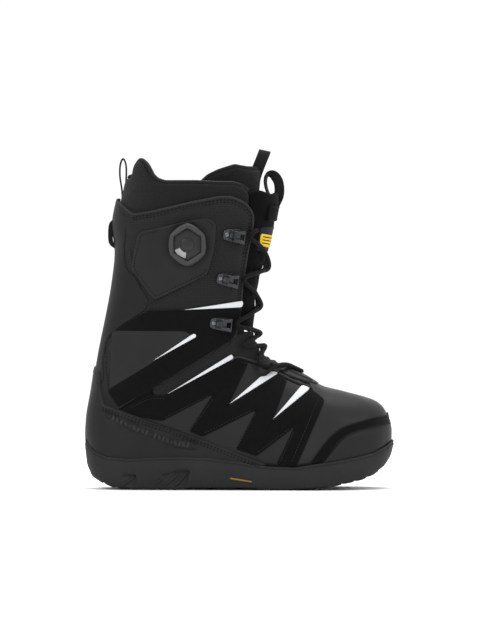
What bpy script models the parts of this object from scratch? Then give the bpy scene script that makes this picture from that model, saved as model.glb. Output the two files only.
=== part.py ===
"""Snowboard boot for the right foot, as separate named parts.

Metres. +X points to the toe, -Y to the outer side of the foot and +Z up; the sole stands on Z = 0.
The upper is a stack of flat sections that fan round the instep. A place on it is (s, phi, depth):
s counts the sections from the cuff's top to the toe, phi runs round a section from its front or
top (0) to its heel or sole end (pi), and depth is how far outside the upper's outer face it lies.
Outlines are side views in millimetres, and depths and widths are in millimetres too.
"""

import math

import bmesh
import bpy
from mathutils import Vector
from mathutils.geometry import delaunay_2d_cdt

MM = 0.001
LATERAL, MEDIAL = -1, 1
SIDES = {"lateral": LATERAL, "medial": MEDIAL}

# Driving dimensions
MESH_SIZE = 17  # longest side of a facet on the upper
SHELL = (-3.0, 0.0)  # depths of the shell's inner and outer face
TRIM = (1.6, 2.8)  # what is sewn on the shell
COUNTER = (3.0, 4.2)
HARNESS = (-6.2, -5.0)
LINER = (-13.5, -8.5)
LINER_TONGUE = (-27.5, -23.5)
FOOTBED = (-19.5, -16)
TONGUE = (-7, -1)
SPIKE = (3.3, 4.3)
POD = (1.9, 4.2)
SEAT = 4.6  # the pod's flat face stands this far out round the dial
LACE_RADIUS = 2.2
CABLE_RADIUS = 0.5
ANKLE = (-84, 99)  # the cuff flexes about this point, as seen from the side
THROAT = (15, 157)  # the tongue hangs from here
DIAL = (-51, 243.6)
LACE_EYE = (11.2, 0.62, 8.2)  # (s, phi, depth) of the eye that turns the lace at the instep
LACE_START = ((13.3, 0.07, 4.2), (12.4, 0.2, 4.2), LACE_EYE, (9.6, 0.6, 8.4))
LACE_CROSSINGS = ((8.1, 1), (6.1, -1), (4.8, 1), (3.5, -1))  # (s, which half lies on top)
LACE_OVER, LACE_UNDER = 7.5, 2.8
LACE_LOW_TURN = (7.0, 0.72)  # (s, phi) of the turn below the lowest hooks
LACE_TUCK = (15.5, 258)  # side view of the place where its end is tucked in
HOOK_REACH = 13.8  # from a hook's middle to the lace in it

# Each section: heel or sole end (x, z), front or top end (x, z), half width, sideways shift,
# squareness at the heel or sole end, squareness at the front or top end.
SECTIONS = (
    (-112, 332, 44, 332, 58, 0, 2.3, 2.4),
    (-119, 300, 42, 300, 58, 0, 2.3, 2.4),
    (-125.5, 266, 36.5, 266, 57, 0, 2.4, 2.4),
    (-123, 236, 28.5, 236, 54.5, 0, 2.4, 2.4),
    (-126, 206, 19.8, 206, 51, 0, 2.4, 2.4),
    (-131.5, 177, 16, 178, 48, 0, 2.4, 2.3),
    (-139, 138, 16, 156, 46, 0, 2.4, 2.2),
    (-145, 102, 18, 147, 45, 0, 2.5, 2.2),
    (-150.3, 70, 20.5, 141, 44, 0, 2.6, 2.2),
    (-149.8, 42, 25, 135.5, 43, 0, 2.8, 2.2),
    (-137, 20, 31, 131.5, 43, 0, 3.2, 2.2),
    (-96, 18, 38, 128, 43.5, 0, 3.8, 2.2),
    (-52, 18, 47, 123.5, 45.5, -1, 4, 2.2),
    (-8, 17, 57, 118, 48.5, -2.5, 4, 2.2),
    (32, 16, 69, 111.5, 52, -3, 4.6, 2.3),
    (68, 16, 85, 102.5, 54.5, -2, 5, 2.3),
    (98, 18, 104, 97.5, 53.5, 1, 5, 2.3),
    (122, 22, 124, 92.5, 47, 4, 4.6, 2.4),
    (138, 28, 139.5, 86, 36.5, 6, 4, 2.5),
    (146.6, 36, 148, 75, 23.5, 7, 3, 2.5),
    (150.2, 45, 150.7, 57, 9, 7.5, 2.2, 2.2),
)
LAST = len(SECTIONS) - 1
TOE_START = 16  # from this section on, depth also grows the toe forwards
FLAT = (26, 46)  # millimetres per section and per radian, where outlines are filled with facets

# Side-view outlines of the cuff and of the lower part, each from the heel's centre line forwards
CUFF_TOP = (
    (-124, 286), (-111, 276), (-106, 273), (-87, 276), (-49.5, 284.7), (-19, 290.5),
    (-9, 290.5), (5.7, 284.7), (13, 275.5),
)
CUFF_FRONT = ((14.8, 265.6), (12.3, 249), (8.2, 231), (4, 205), (2.4, 181), (-2.6, 154))
TONGUE_TOP = ((45, 296), (36, 293.5), (24, 297), (17, 297), (15.5, 280))
CUFF_BOTTOM = (
    (-8.3, 148.5), (-84, 105), (-105, 93), (-119.6, 87), (-130, 95), (-135, 104), (-139, 123),
    (-145, 123),
)
QUARTER_TOP = (
    (-150, 115), (-142, 115), (-139, 100), (-132, 86), (-120, 80), (-89, 92), (-71, 95), (-6, 129),
)
EYESTAY = ((0.8, 130.7), (13, 126.6), (27, 120.8), (50.5, 108.5), (61, 104))
LINER_TOP = (
    (-111, 318), (-107, 325), (-103, 328), (-97.6, 324.5), (-91, 313), (-85, 308), (-77, 305.5),
    (-42, 305.5), (-18, 304.5), (-3, 304.5), (7, 302), (13, 297),
)
LINER_FRONT = (
    (14, 290), (13.5, 274), (8, 249), (1, 231), (-3, 205), (-5, 181), (-10, 156),
)
LINER_LOW = ((-16, 145),) + CUFF_BOTTOM[1:]
LINER_TONGUE_TOP = ((-46, 300), (-38, 306), (-27.5, 313), (-13.4, 318), (3, 322), (25, 324))
LINER_TONGUE_SIDE = ((-38, 285), (-20, 240), (-16, 205), (-14, 181), (-12, 162))
COUNTER_TOP = ((-150, 117), (-140, 117), (-137, 98), (-133, 85), (-120, 80.4), (-29, 48.5))
SOLE_TOP = (
    (-160, 52), (-153, 50), (-145, 39), (-131.6, 33), (-109, 31), (-84, 32.7), (-51, 33),
    (-29, 32), (2.5, 28), (27, 24), (56, 23), (77, 26.5), (92.5, 28.5), (117, 33), (134, 37),
    (146, 43), (153, 48.5), (160, 50),
)
SOLE_BOTTOM = (
    (-160, 40), (-154, 27), (-146.6, 13), (-136, 6.6), (-126, 2.5), (-106, 0), (-56, 0),
    (-48, 1.7), (10, 1.7), (20, 0), (51, 0), (88, 2.5), (113, 8), (122, 10), (134, 15),
    (144.7, 22.3), (152, 31.4), (156, 40),
)
TOE_STRIP_TOP = (
    (72.6, 31), (84, 46.4), (96.6, 58.8), (109, 65.5), (134, 73), (142, 75), (147.3, 75.6),
)
TOE_STRIP_LOW = ((149.1, 66), (142, 64.6), (117, 58.8), (104, 53), (95.8, 45.5), (83, 31.5))

RECESSES = (
    ((-127.5, 8), (-112.6, 15), (-101.8, 15), (-101.8, 2.5)),
    ((-95, 4), (-65, 19.5), (-48, 19.8), (-52, 4)),
)

# Sewn-on trim, as side views
SUEDE_LOWER = (
    (-116, 81.5), (-89, 91), (-71, 93.5), (-6, 127.5), (0.8, 127.5), (13, 122.5), (27, 116.5),
    (50.5, 104.5), (70.5, 97.5), (84, 88), (58, 28.5), (38, 29), (53.9, 62), (17.4, 35),
    (-3.3, 41.4), (16.6, 79.5), (-36, 53.5), (-49.6, 58.8), (-26.6, 94.5), (-76, 68.5),
)
SUEDE_CUFF = (
    (-91, 178), (2, 179.5), (0, 170), (-54, 157.5), (-110, 157.5), (-43, 152.5), (-8.3, 149),
    (-84, 106.5), (-119, 89.5), (-129, 99), (-125, 104), (-125.4, 158),
)
DIAL_POD = (
    (-99, 256.5), (-31, 271), (-22, 265.6), (-24.6, 240.7), (-31, 213), (-84, 188), (-107, 220),
)
BACKSTAY_FRONT = (
    (-118, 290), (-116, 266), (-113, 240), (-104, 205), (-100, 185), (-127, 161), (-134, 147),
    (-137, 127),
)
GUSSET = (
    (-85, 94.5), (-71, 97.5), (-8, 131), (-1, 135), (-4, 149), (-10, 145), (-84, 102.5),
)
HARNESS_WING = (
    (-72, 172), (-30, 190), (-12, 188), (-12, 166), (-38, 140), (-66, 122), (-92, 128), (-90, 150),
)
CABLE = ((-51, 232), (-47, 215), (-40, 200), (-38, 189))
# A spike tapers from its point to its butt end: (point, butt's upper corner, butt's lower corner).
SPIKES = {
    "b": ((-85, 130.5), (-45, 156), (-42, 152.5)),
    "c": ((-70, 97), (-14, 126.5), (-10, 122.5)),
    "d": ((-10, 87), (20, 109.5), (29, 105.5)),
    "e": ((33, 72.5), (58, 99), (66, 95)),
}
SPIKE_A = ((-55, 181), (0, 190.5), (-1, 184))
HOOKS = ((-6, 252.5), (-12.3, 209), (-19.2, 165))
HOOK_PLATE = ((-10, -7), (6, -7), (10.5, -3), (10.5, 3), (6, 7), (-10, 7))  # (forward, up)
# The hook's horn rises from its plate and reaches forwards: (forward, low, high, half width)
HORN = ((-8, 1.2, 2.9, 6), (-3, 1.2, 4.6, 6), (-1, 4.4, 6.4, 5.5), (8, 6.2, 7.8, 4))


def clear_scene():
    for obj in list(bpy.data.objects):
        bpy.data.objects.remove(obj)


# ---------------------------------------------------------------- the shape of the boot


def section(s):
    """The section at s, on a smooth curve through the listed ones."""
    s = min(max(s, 0), LAST)
    i = min(int(s), LAST - 1)
    t = s - i
    rows = [SECTIONS[min(max(i + k, 0), LAST)] for k in (-1, 0, 1, 2)]
    return [
        0.5 * (2 * b + (c - a) * t + (2 * a - 5 * b + 4 * c - d) * t * t
               + (3 * b - a - 3 * c + d) * t**3)
        for a, b, c, d in zip(*rows)
    ]


def power(value, exponent):
    return math.copysign(abs(value) ** exponent, value)


def on_boot(s, phi, depth):
    """The point at (s, phi, depth), in metres. Phi is positive on the medial side."""
    rear_x, rear_z, front_x, front_z, half, shift, square_rear, square_front = section(s)
    square = square_front if math.cos(phi) > 0 else square_rear
    along = power(math.cos(phi), 2 / square)
    across = power(math.sin(phi), 2 / square)
    reach_x, reach_z = (front_x - rear_x) / 2, (front_z - rear_z) / 2
    grown = 1 + depth / math.hypot(reach_x, reach_z)
    toe = min(max((s - TOE_START) / (LAST - TOE_START), 0), 1) ** 2
    x = (rear_x + front_x) / 2 + reach_x * grown * along + toe * depth
    z = (rear_z + front_z) / 2 + reach_z * grown * along
    return Vector((x, shift + (half + depth) * across, z)) * MM


FINE = [(k / 20, *section(k / 20)[:4]) for k in range(LAST * 20 + 1)]


def share_of(row, x, z):
    """How far along a section's line the point lies, from its heel or sole end to its front."""
    _, rx, rz, fx, fz = row
    return ((x - rx) * (fx - rx) + (z - rz) * (fz - rz)) / ((fx - rx) ** 2 + (fz - rz) ** 2)


def nearest_on_edge(x, z):
    """(s, share) of the nearest place on the boot's outline, for a point outside it."""
    found = [(math.dist((x, z), row[1:3]), row[0], 0) for row in FINE]
    found += [(math.dist((x, z), row[3:5]), row[0], 1) for row in FINE]
    for row in (FINE[0], FINE[-1]):
        share = min(max(share_of(row, x, z), 0), 1)
        at = [p + (q - p) * share for p, q in zip(row[1:3], row[3:5])]
        found.append((math.dist((x, z), at), row[0], share))
    return min(found)[1:]


def locate(x, z):
    """(s, phi) of the point that a side view shows at (x, z), on the edge if it lies outside."""
    found = []
    for before, after in zip(FINE, FINE[1:]):
        turns = [
            (fx - rx) * (z - rz) - (fz - rz) * (x - rx) for _, rx, rz, fx, fz in (before, after)
        ]
        if turns[0] < 0 <= turns[1]:
            s = before[0] + (after[0] - before[0]) * turns[0] / (turns[0] - turns[1])
            share = share_of((s, *section(s)[:4]), x, z)
            if -0.3 < share < 1.3:
                found.append((abs(share - 0.5), s, share))
    s, share = min(found)[1:] if found else nearest_on_edge(x, z)
    along = 2 * min(max(share, 0), 1) - 1
    square = section(s)[7] if along > 0 else section(s)[6]
    return s, math.acos(power(along, square / 2))


def resample(points, step, closed):
    """The polyline with no side longer than step."""
    ends = list(zip(points, points[1:] + points[:1])) if closed else list(zip(points, points[1:]))
    out = []
    for a, b in ends:
        pieces = max(1, math.ceil(math.dist(a, b) / step))
        out += [tuple(p + (q - p) * k / pieces for p, q in zip(a, b)) for k in range(pieces)]
    return out if closed else out + [points[-1]]


def patch(points, side):
    """A side-view outline as a loop of (s, phi) on one side."""
    return [(s, side * phi) for s, phi in (locate(*p) for p in resample(list(points), MESH_SIZE, True))]


def round_heel(points):
    """Half an outline, which starts and ends on the heel's centre line, made whole."""
    half = [locate(*p) for p in resample(list(points), MESH_SIZE, False)]
    half[0], half[-1] = (half[0][0], math.pi), (half[-1][0], math.pi)
    return half + [(s, 2 * math.pi - phi) for s, phi in half[-2:0:-1]]


def over_top(points):
    """Half an outline, which starts and ends on the centre line of the front or top, made whole."""
    half = [locate(*p) for p in resample(list(points), MESH_SIZE, False)]
    half[0], half[-1] = (half[0][0], 0), (half[-1][0], 0)
    return half + [(s, -phi) for s, phi in half[-2:0:-1]]


# ---------------------------------------------------------------- meshes


def inside(point, loop):
    """Whether the point is in the loop, and how far it is from the loop's edge."""
    x, y = point
    within, near = False, math.inf
    for (ax, ay), (bx, by) in zip(loop, loop[1:] + loop[:1]):
        if (ay > y) != (by > y) and x < (bx - ax) * (y - ay) / (by - ay) + ax:
            within = not within
        span = max((bx - ax) ** 2 + (by - ay) ** 2, 1e-9)
        t = min(max(((x - ax) * (bx - ax) + (y - ay) * (by - ay)) / span, 0), 1)
        near = min(near, math.hypot(x - ax - t * (bx - ax), y - ay - t * (by - ay)))
    return within, near


def filled(loop, step):
    """Points and triangles that fill a loop of (s, phi)."""
    flat = [(s * FLAT[0], phi * FLAT[1]) for s, phi in loop]
    grid = []
    low_u, high_u = min(p[0] for p in flat), max(p[0] for p in flat)
    low_v, high_v = min(p[1] for p in flat), max(p[1] for p in flat)
    for i in range(1, int((high_u - low_u) / step) + 1):
        for j in range(int((high_v - low_v) / step) + 1):
            point = (low_u + i * step, low_v + (j + 0.5 * (i % 2)) * step)
            within, near = inside(point, flat)
            if within and near > 0.45 * step:
                grid.append(point)
    points = [Vector(p) for p in flat + grid]
    verts, _, faces, *_ = delaunay_2d_cdt(points, [], [list(range(len(flat)))], 1, 1e-4)
    return [(v.x / FLAT[0], v.y / FLAT[1]) for v in verts], faces


def solid_between(name, outer, inner, faces):
    """A closed body from two sheets with the same faces, joined along their free edges."""
    count = len(outer)
    flipped = [tuple(count + k for k in reversed(face)) for face in faces]
    used = {}
    for face in faces:
        for a, b in zip(face, face[1:] + face[:1]):
            used[(a, b)] = used.get((a, b), 0) + 1
    rim = [(a, count + a, count + b, b) for a, b in used if (b, a) not in used]
    return mesh_object(name, list(outer) + list(inner), [tuple(f) for f in faces] + flipped + rim)


def mesh_object(name, verts, faces):
    mesh = bpy.data.meshes.new(name)
    mesh.from_pydata([tuple(v) for v in verts], [], faces)
    work = bmesh.new()
    work.from_mesh(mesh)
    bmesh.ops.recalc_face_normals(work, faces=work.faces)
    if work.calc_volume(signed=True) < 0:
        bmesh.ops.reverse_faces(work, faces=work.faces)
    loose = [v for v in work.verts if not v.link_faces]
    bmesh.ops.delete(work, geom=loose, context="VERTS")
    work.to_mesh(mesh)
    work.free()
    mesh.validate()
    obj = bpy.data.objects.new(name, mesh)
    bpy.context.scene.collection.objects.link(obj)
    return obj


def skin(name, loop, depths, step=MESH_SIZE):
    """A sheet that follows the boot inside a loop of (s, phi), between two depths."""
    places, faces = filled(loop, step)
    outer = [on_boot(s, phi, depths[1]) for s, phi in places]
    inner = [on_boot(s, phi, depths[0]) for s, phi in places]
    return solid_between(name, outer, inner, [tuple(f) for f in faces])


def local_frame(x, z, side, depth):
    """Origin and axes (forward, up, out) on the boot where a side view shows (x, z)."""
    s, phi = locate(x, z)
    here = on_boot(s, side * phi, depth)
    forward = (on_boot(s, side * (phi - 0.05), depth) - here).normalized()
    down = (on_boot(s + 0.05, side * phi, depth) - here).normalized()
    out = forward.cross(down) * side
    out.normalize()
    up = (-down - out * (-down).dot(out)).normalized()
    forward = up.cross(out) * -side
    return here, forward, up, out


def turned(name, profile, centre, segments=28):
    """A body turned about the -Y line through the centre, from (radius, height) points.

    With six segments it is a hexagon that stands on its point, and its radii reach to the flats.
    """
    start, widen = (math.pi / 2, 1 / math.cos(math.pi / 6)) if segments == 6 else (0, 1)
    verts, rings = [], []
    for radius, height in profile:
        if radius == 0:
            rings.append([len(verts)] * segments)
            verts.append(centre + Vector((0, -height, 0)) * MM)
            continue
        rings.append(list(range(len(verts), len(verts) + segments)))
        for k in range(segments):
            angle = 2 * math.pi * k / segments + start
            reach = radius * widen
            offset = Vector((reach * math.cos(angle), -height, reach * math.sin(angle)))
            verts.append(centre + offset * MM)
    faces = []
    loops = list(zip(rings, rings[1:]))
    if profile[0][0] and profile[-1][0]:
        loops.append((rings[-1], rings[0]))
    for low, high in loops:
        for k in range(segments):
            quad = [low[k], low[(k + 1) % segments], high[(k + 1) % segments], high[k]]
            faces.append(tuple(dict.fromkeys(quad)))
    return mesh_object(name, verts, faces)


def ribbon(name, path, across, width, thickness, closed=False):
    """A strap of rectangular section along a path, its width lying along the vector across."""
    points = [Vector(p) * MM for p in path]
    count = len(points)
    across = Vector(across).normalized() * width * MM / 2
    verts = []
    for k, point in enumerate(points):
        after = points[(k + 1) % count] if closed else points[min(k + 1, count - 1)]
        before = points[k - 1] if closed or k else points[0]
        normal = (after - before).cross(across).normalized() * thickness * MM / 2
        verts += [point + across + normal, point - across + normal,
                  point - across - normal, point + across - normal]
    faces = []
    for k in range(count if closed else count - 1):
        a, b = 4 * k, 4 * ((k + 1) % count)
        faces += [(a + j, a + (j + 1) % 4, b + (j + 1) % 4, b + j) for j in range(4)]
    if not closed:
        faces += [(0, 1, 2, 3), (4 * count - 1, 4 * count - 2, 4 * count - 3, 4 * count - 4)]
    return mesh_object(name, verts, faces)


def smooth_path(points, per_span):
    """Points on a smooth curve through the given ones."""
    out = []
    for i in range(len(points) - 1):
        rows = [points[min(max(i + k, 0), len(points) - 1)] for k in (-1, 0, 1, 2)]
        for step in range(per_span):
            t = step / per_span
            out.append(tuple(
                0.5 * (2 * b + (c - a) * t + (2 * a - 5 * b + 4 * c - d) * t * t
                       + (3 * b - a - 3 * c + d) * t**3)
                for a, b, c, d in zip(*rows)
            ))
    return out + [tuple(points[-1])]


def tube(name, points, radius):
    """A round cord along points in metres."""
    curve = bpy.data.curves.new(name, "CURVE")
    curve.dimensions = "3D"
    curve.bevel_depth = radius * MM
    curve.bevel_resolution = 2
    curve.use_fill_caps = True
    spline = curve.splines.new("POLY")
    spline.points.add(len(points) - 1)
    for target, point in zip(spline.points, points):
        target.co = (*point, 1)
    obj = bpy.data.objects.new(name, curve)
    bpy.context.scene.collection.objects.link(obj)
    return obj


def between(table, x):
    """The height at x on a polyline of (x, z)."""
    for (ax, az), (bx, bz) in zip(table, table[1:]):
        if ax <= x <= bx:
            return az + (bz - az) * (x - ax) / (bx - ax)
    return table[0][1] if x < table[0][0] else table[-1][1]


# ---------------------------------------------------------------- the sole


def plan_line(depth, start, end, count):
    """Pairs of points (medial, lateral) along the sole's top line, in millimetres."""
    pairs = []
    for k in range(count + 1):
        x = (start + end) / 2 - (end - start) / 2 * math.cos(math.pi * k / count)
        s, phi = locate(x, between(SOLE_TOP, x))
        pairs.append([on_boot(s, side * phi, depth) / MM for side in (MEDIAL, LATERAL)])
    return pairs


def slab(name, rings):
    """A closed body from rings of (medial, lateral) pairs, capped across its first and last ring."""
    stations = len(rings[0])
    verts, faces = [], []
    loops = []
    for ring in rings:
        loop = [pair[0] for pair in ring] + [pair[1] for pair in reversed(ring)]
        loops.append(range(len(verts), len(verts) + len(loop)))
        verts += [Vector(p) * MM for p in loop]
    around = 2 * stations
    for low, high in zip(loops, loops[1:]):
        for k in range(around):
            faces.append((low[k], low[(k + 1) % around], high[(k + 1) % around], high[k]))
    for loop in (loops[0], loops[-1]):
        for k in range(stations - 1):
            faces.append((loop[k], loop[k + 1], loop[around - 2 - k], loop[around - 1 - k]))
    return mesh_object(name, verts, faces)


def sole_ring(depth, height):
    """One ring of the cup sole, at a depth, its height a function of x."""
    return [
        [Vector((p.x, p.y, height(p.x))) for p in pair] for pair in plan_line(depth, -149.5, 150.4, 24)
    ]


def sole_bottom(x):
    return between(SOLE_BOTTOM, x)


def sole_top(x):
    return between(SOLE_TOP, x)


def pocket(x):
    """Floor of the pocket that holds the midsole."""
    return min(sole_bottom(x) + 6, sole_top(x) - 6)


def add_outsole():
    """The cup sole: a rocker bottom, a wall that holds the upper, a pocket for the midsole."""
    rings = [
        sole_ring(-4, sole_bottom),
        sole_ring(2.2, lambda x: sole_bottom(x) + 3.5),
        sole_ring(4.6, lambda x: sole_bottom(x) + 0.55 * (sole_top(x) - sole_bottom(x))),
        sole_ring(4.2, sole_top),
        sole_ring(1.4, sole_top),
        sole_ring(1.4, pocket),
    ]
    sole = slab("outsole", rings)
    lug = box("cutter_arch_lug", (-26, 26), (-15, 15), (0, 4))
    combine(sole, lug, "UNION")
    for side in (LATERAL, MEDIAL):
        for k, outline in enumerate(RECESSES):
            edge = abs(on_boot(*locate(outline[1][0], 30), 4.6).y) / MM
            cutter = prism(f"cutter_recess_{side}_{k}", outline, side * (edge - 5), side * 70)
            combine(sole, cutter, "DIFFERENCE")
    return sole


def box(name, xs, ys, zs):
    verts = [Vector((x, y, z)) * MM for x in xs for y in ys for z in zs]
    faces = [(0, 1, 3, 2), (4, 6, 7, 5), (0, 4, 5, 1), (2, 3, 7, 6), (0, 2, 6, 4), (1, 5, 7, 3)]
    return mesh_object(name, verts, faces)


def prism(name, outline, y_from, y_to):
    """A side-view outline made solid from one y to another."""
    count = len(outline)
    verts = [Vector((x, y, z)) * MM for y in (y_from, y_to) for x, z in outline]
    faces = [tuple(range(count)), tuple(range(2 * count - 1, count - 1, -1))]
    faces += [(k, count + k, count + (k + 1) % count, (k + 1) % count) for k in range(count)]
    return mesh_object(name, verts, faces)


def combine(obj, other, operation):
    other.hide_render = True
    other.display_type = "WIRE"
    modifier = obj.modifiers.new(other.name, "BOOLEAN")
    modifier.operation = operation
    modifier.object = other


def upper_bottom(x):
    """The lowest point of the upper above x."""
    row = [(rx, rz) for _, rx, rz, _, _ in FINE if rz < 60]
    return between(sorted(row), x)


def add_inner_sole_parts():
    """Midsole, heel pad, shank and lasting board, stacked in the cup sole under the upper."""
    def block(name, start, end, depth, low, high):
        pairs = plan_line(depth, start, end, 10)
        return slab(name, [
            [[Vector((p.x, p.y, level(p.x))) for p in pair] for pair in pairs] for level in (low, high)
        ])

    def floor(x):
        return pocket(x) + 0.5

    midsole = block("midsole", -58, 128, -5, floor, lambda x: upper_bottom(x) - 4.5)
    pad = block("heel_pad", -121, -59.5, -5, floor, lambda x: upper_bottom(x) - 1.2)
    shank = slab("shank", [
        [[Vector((x, side * 17, upper_bottom(x) + rise)) for side in (MEDIAL, LATERAL)]
         for x in range(-55, 66, 20)]
        for rise in (-4, -1.4)
    ])
    board_loop = [(11.7, 2.65), (12, 2.6), (14, 2.6), (16, 2.6), (17.6, 2.65)]
    board_loop += [(s, 2 * math.pi - phi) for s, phi in reversed(board_loop)]
    board = skin("lasting_board", board_loop, (-4.6, -3.4))
    return midsole, pad, shank, board


def add_sole_badge():
    s, phi = locate(2, 30)
    edge = on_boot(s, LATERAL * phi, 4.6).y / MM
    outline = ((-9, 12.6), (12.6, 9.4), (13, 7.8), (-8.6, 11))
    return prism("sole_badge", outline, edge - 0.2, edge - 1.4)


# ---------------------------------------------------------------- the lower part


def lower_bottom(front):
    """The shell's edge under the foot, from the front back to the heel, as (s, phi)."""
    return [(s, 2.55) for s in range(front, 10, -1)] + [(10.4, 2.8), (10.2, math.pi)]


def add_quarters():
    """Heel and both sides in one piece, open on top for the tongue and lasted under the foot."""
    half = [locate(*p) for p in resample(list(QUARTER_TOP + EYESTAY), MESH_SIZE, False)]
    half[0] = (half[0][0], math.pi)
    last = 14.3
    half += [(last, 1.0), (last, 1.5), (last, 2.0), (last, 2.55)] + lower_bottom(14)
    loop = half + [(s, 2 * math.pi - phi) for s, phi in half[-2:0:-1]]
    return skin("quarters", loop, SHELL)


def add_vamp():
    """Toe box, closed over the top and lasted under the toes."""
    half = [(14.6, 0), (14.5, 0.5), (14.4, 1.0), (14.5, 1.6), (14.6, 2.1), (14.6, 2.55)]
    half += [(15.5, 2.55), (16.5, 2.55), (17.5, 2.55), (18.5, 2.55), (19.3, 2.4), (20, 2.2)]
    half += [(20, 1.6), (20, 1), (20, 0.5), (20, 0)]
    return skin("vamp", half + [(s, -phi) for s, phi in half[-2:0:-1]], SHELL)


def add_toe_parts():
    """Rubber bumper round the toe and the strip that covers its upper edge."""
    made = []
    for name, top, low, depths in (
        ("toe_strip", TOE_STRIP_TOP, TOE_STRIP_LOW, (2.0, 3.2)),
        ("toe_bumper", tuple(reversed(bumper_top())), bumper_bottom(), (1.7, 3.4)),
    ):
        made.append(band_round_toe(name, top, low, depths))
    return made


def bumper_top():
    return tuple((x + 0.4, z - 1.8) for x, z in TOE_STRIP_LOW)


def bumper_bottom():
    return tuple((x, sole_top(x) + 4) for x in (149.9, 146, 134, 117, 104, 94))


def along_line(points, share):
    """The point at a share of a polyline's length."""
    lengths = [math.dist(a, b) for a, b in zip(points, points[1:])]
    left = share * sum(lengths)
    for (a, b), length in zip(zip(points, points[1:]), lengths):
        if left <= length:
            return tuple(p + (q - p) * left / length for p, q in zip(a, b))
        left -= length
    return points[-1]


def band_round_toe(name, top, low, depths):
    """A band whose side-view edges run forwards (top) and backwards (low), met at the toe's tip."""
    columns, rows = 26, 3
    verts_out, verts_in = [], []
    low = low[::-1]
    for k in range(columns + 1):
        share = k / columns * 2 - 1
        side = math.copysign(1, share)
        reach = math.sin((1 - abs(share)) * math.pi / 2)
        a, b = along_line(top, reach), along_line(low, reach)
        for j in range(rows + 1):
            s, phi = locate(*(p + (q - p) * j / rows for p, q in zip(a, b)))
            verts_out.append(round_tip(s, side * phi, depths[1], abs(share)))
            verts_in.append(round_tip(s, side * phi, depths[0], abs(share)))
    faces = []
    for k in range(columns):
        for j in range(rows):
            a, b = k * (rows + 1) + j, (k + 1) * (rows + 1) + j
            faces.append((a, a + 1, b + 1, b))
    return solid_between(name, verts_out, verts_in, faces)


def round_tip(s, phi, depth, from_tip):
    """A point on the boot; at the toe's very tip it lies on the centre line."""
    point = on_boot(s, phi, depth)
    if from_tip < 0.01:
        point.y = section(s)[5] * MM
    return point


def add_counter():
    """Moulded heel counter outside the quarters, down to the cup sole."""
    low = [(x, sole_top(x) + 3) for x in (0, -25, -51, -80, -109, -131)] + [(-142, 46), (-153, 57)]
    return skin("heel_counter", round_heel(COUNTER_TOP + ((16, 34),) + tuple(low)), COUNTER, 12)


def add_lower_trim():
    """Suede zigzag and the pale spikes on each side of the lower part."""
    made = []
    for word, side in SIDES.items():
        made.append(skin(f"suede_lower_{word}", patch(SUEDE_LOWER, side), TRIM, 13))
        for letter in "cde":
            made.append(add_spike(f"spike_{letter}_{word}", SPIKES[letter], side))
    return made


def add_spike(name, corners, side):
    return skin(name, patch(corners, side), SPIKE)


def add_gusset():
    """Ribbed stretch panel that closes the gap between cuff and lower part."""
    made = []
    for word, side in SIDES.items():
        made.append(skin(f"ankle_gusset_{word}", patch(GUSSET, side), (-2.6, -0.6)))
    return made


def add_footbed_and_liner():
    """Removable liner in three parts and the footbed in it."""
    under = 2.95  # the sole of the liner stays open inside this angle
    top = list(QUARTER_TOP + EYESTAY[:1] + ((12, 124),))
    half = [locate(*p) for p in resample(top, MESH_SIZE, False)]
    half[0] = (half[0][0], math.pi)
    half += [(11.2, 0.62), (13, 0.62), (14.6, 0.6), (14.9, 0)]
    half += [(19.2, 0), (19.2, 1), (19.2, 2)]
    half += [(s, under) for s in (19.2, 18, 16, 14, 12, 10.6)] + [(10.3, math.pi)]
    liner_foot = liner_shell("liner_foot", half)
    edge = [(10.7, 2.5), (12, 2.3), (14, 2.3), (16, 2.3), (17.6, 2.4), (18.6, 2.7)]
    loop = edge + [(s, 2 * math.pi - phi) for s, phi in reversed(edge)]
    footbed = skin("footbed", loop, FOOTBED, 20)
    return liner_foot, footbed


def liner_shell(name, half):
    """The liner's foot: a closed toe and a heel, filled on both sides and joined by position."""
    verts, faces, index = [], [], {}
    outer, inner = [], []
    for side in (1, -1):
        places, triangles = filled(half, 20)
        chosen = []
        for s, phi in places:
            snapped = math.pi if phi > math.pi - 1e-3 else (0 if phi < 1e-3 else phi)
            key = (round(s, 3), round(abs(snapped), 3), 0 if snapped in (0, math.pi) else side)
            if key not in index:
                index[key] = len(outer)
                outer.append(on_boot(s, side * snapped, LINER[1]))
                inner.append(on_boot(s, side * snapped, LINER[0]))
            chosen.append(index[key])
        for face in triangles:
            corners = tuple(chosen[k] for k in face)
            faces.append(corners if side > 0 else tuple(reversed(corners)))
    return solid_between(name, outer, inner, faces)


# ---------------------------------------------------------------- the cuff


def add_cuff():
    loop = round_heel(CUFF_TOP + CUFF_FRONT + CUFF_BOTTOM)
    return skin("cuff_shell", loop, SHELL)


def add_liner_cuff():
    return skin("liner_cuff", round_heel(LINER_TOP + LINER_FRONT + LINER_LOW), LINER, 20)


def add_liner_tongue():
    """The liner's own tongue, between the liner's front edges."""
    half = LINER_TONGUE_TOP[::-1] + LINER_TONGUE_SIDE + ((40, 162),)
    return skin("liner_tongue", over_top(half), LINER_TONGUE, 12)


def add_backstay():
    half = ((-124, 290),) + BACKSTAY_FRONT + ((-145, 127),)
    return skin("backstay", round_heel(half), (1.8, 3.2), 13)


def add_cuff_trim():
    """Suede bands and the upper spikes on the cuff."""
    made = []
    for word, side in SIDES.items():
        made.append(skin(f"suede_cuff_{word}", patch(SUEDE_CUFF, side), TRIM, 15))
        made.append(add_spike(f"spike_b_{word}", SPIKES["b"], side))
        made.append(add_spike(f"spike_a_{word}", SPIKE_A, side))
    return made


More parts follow.
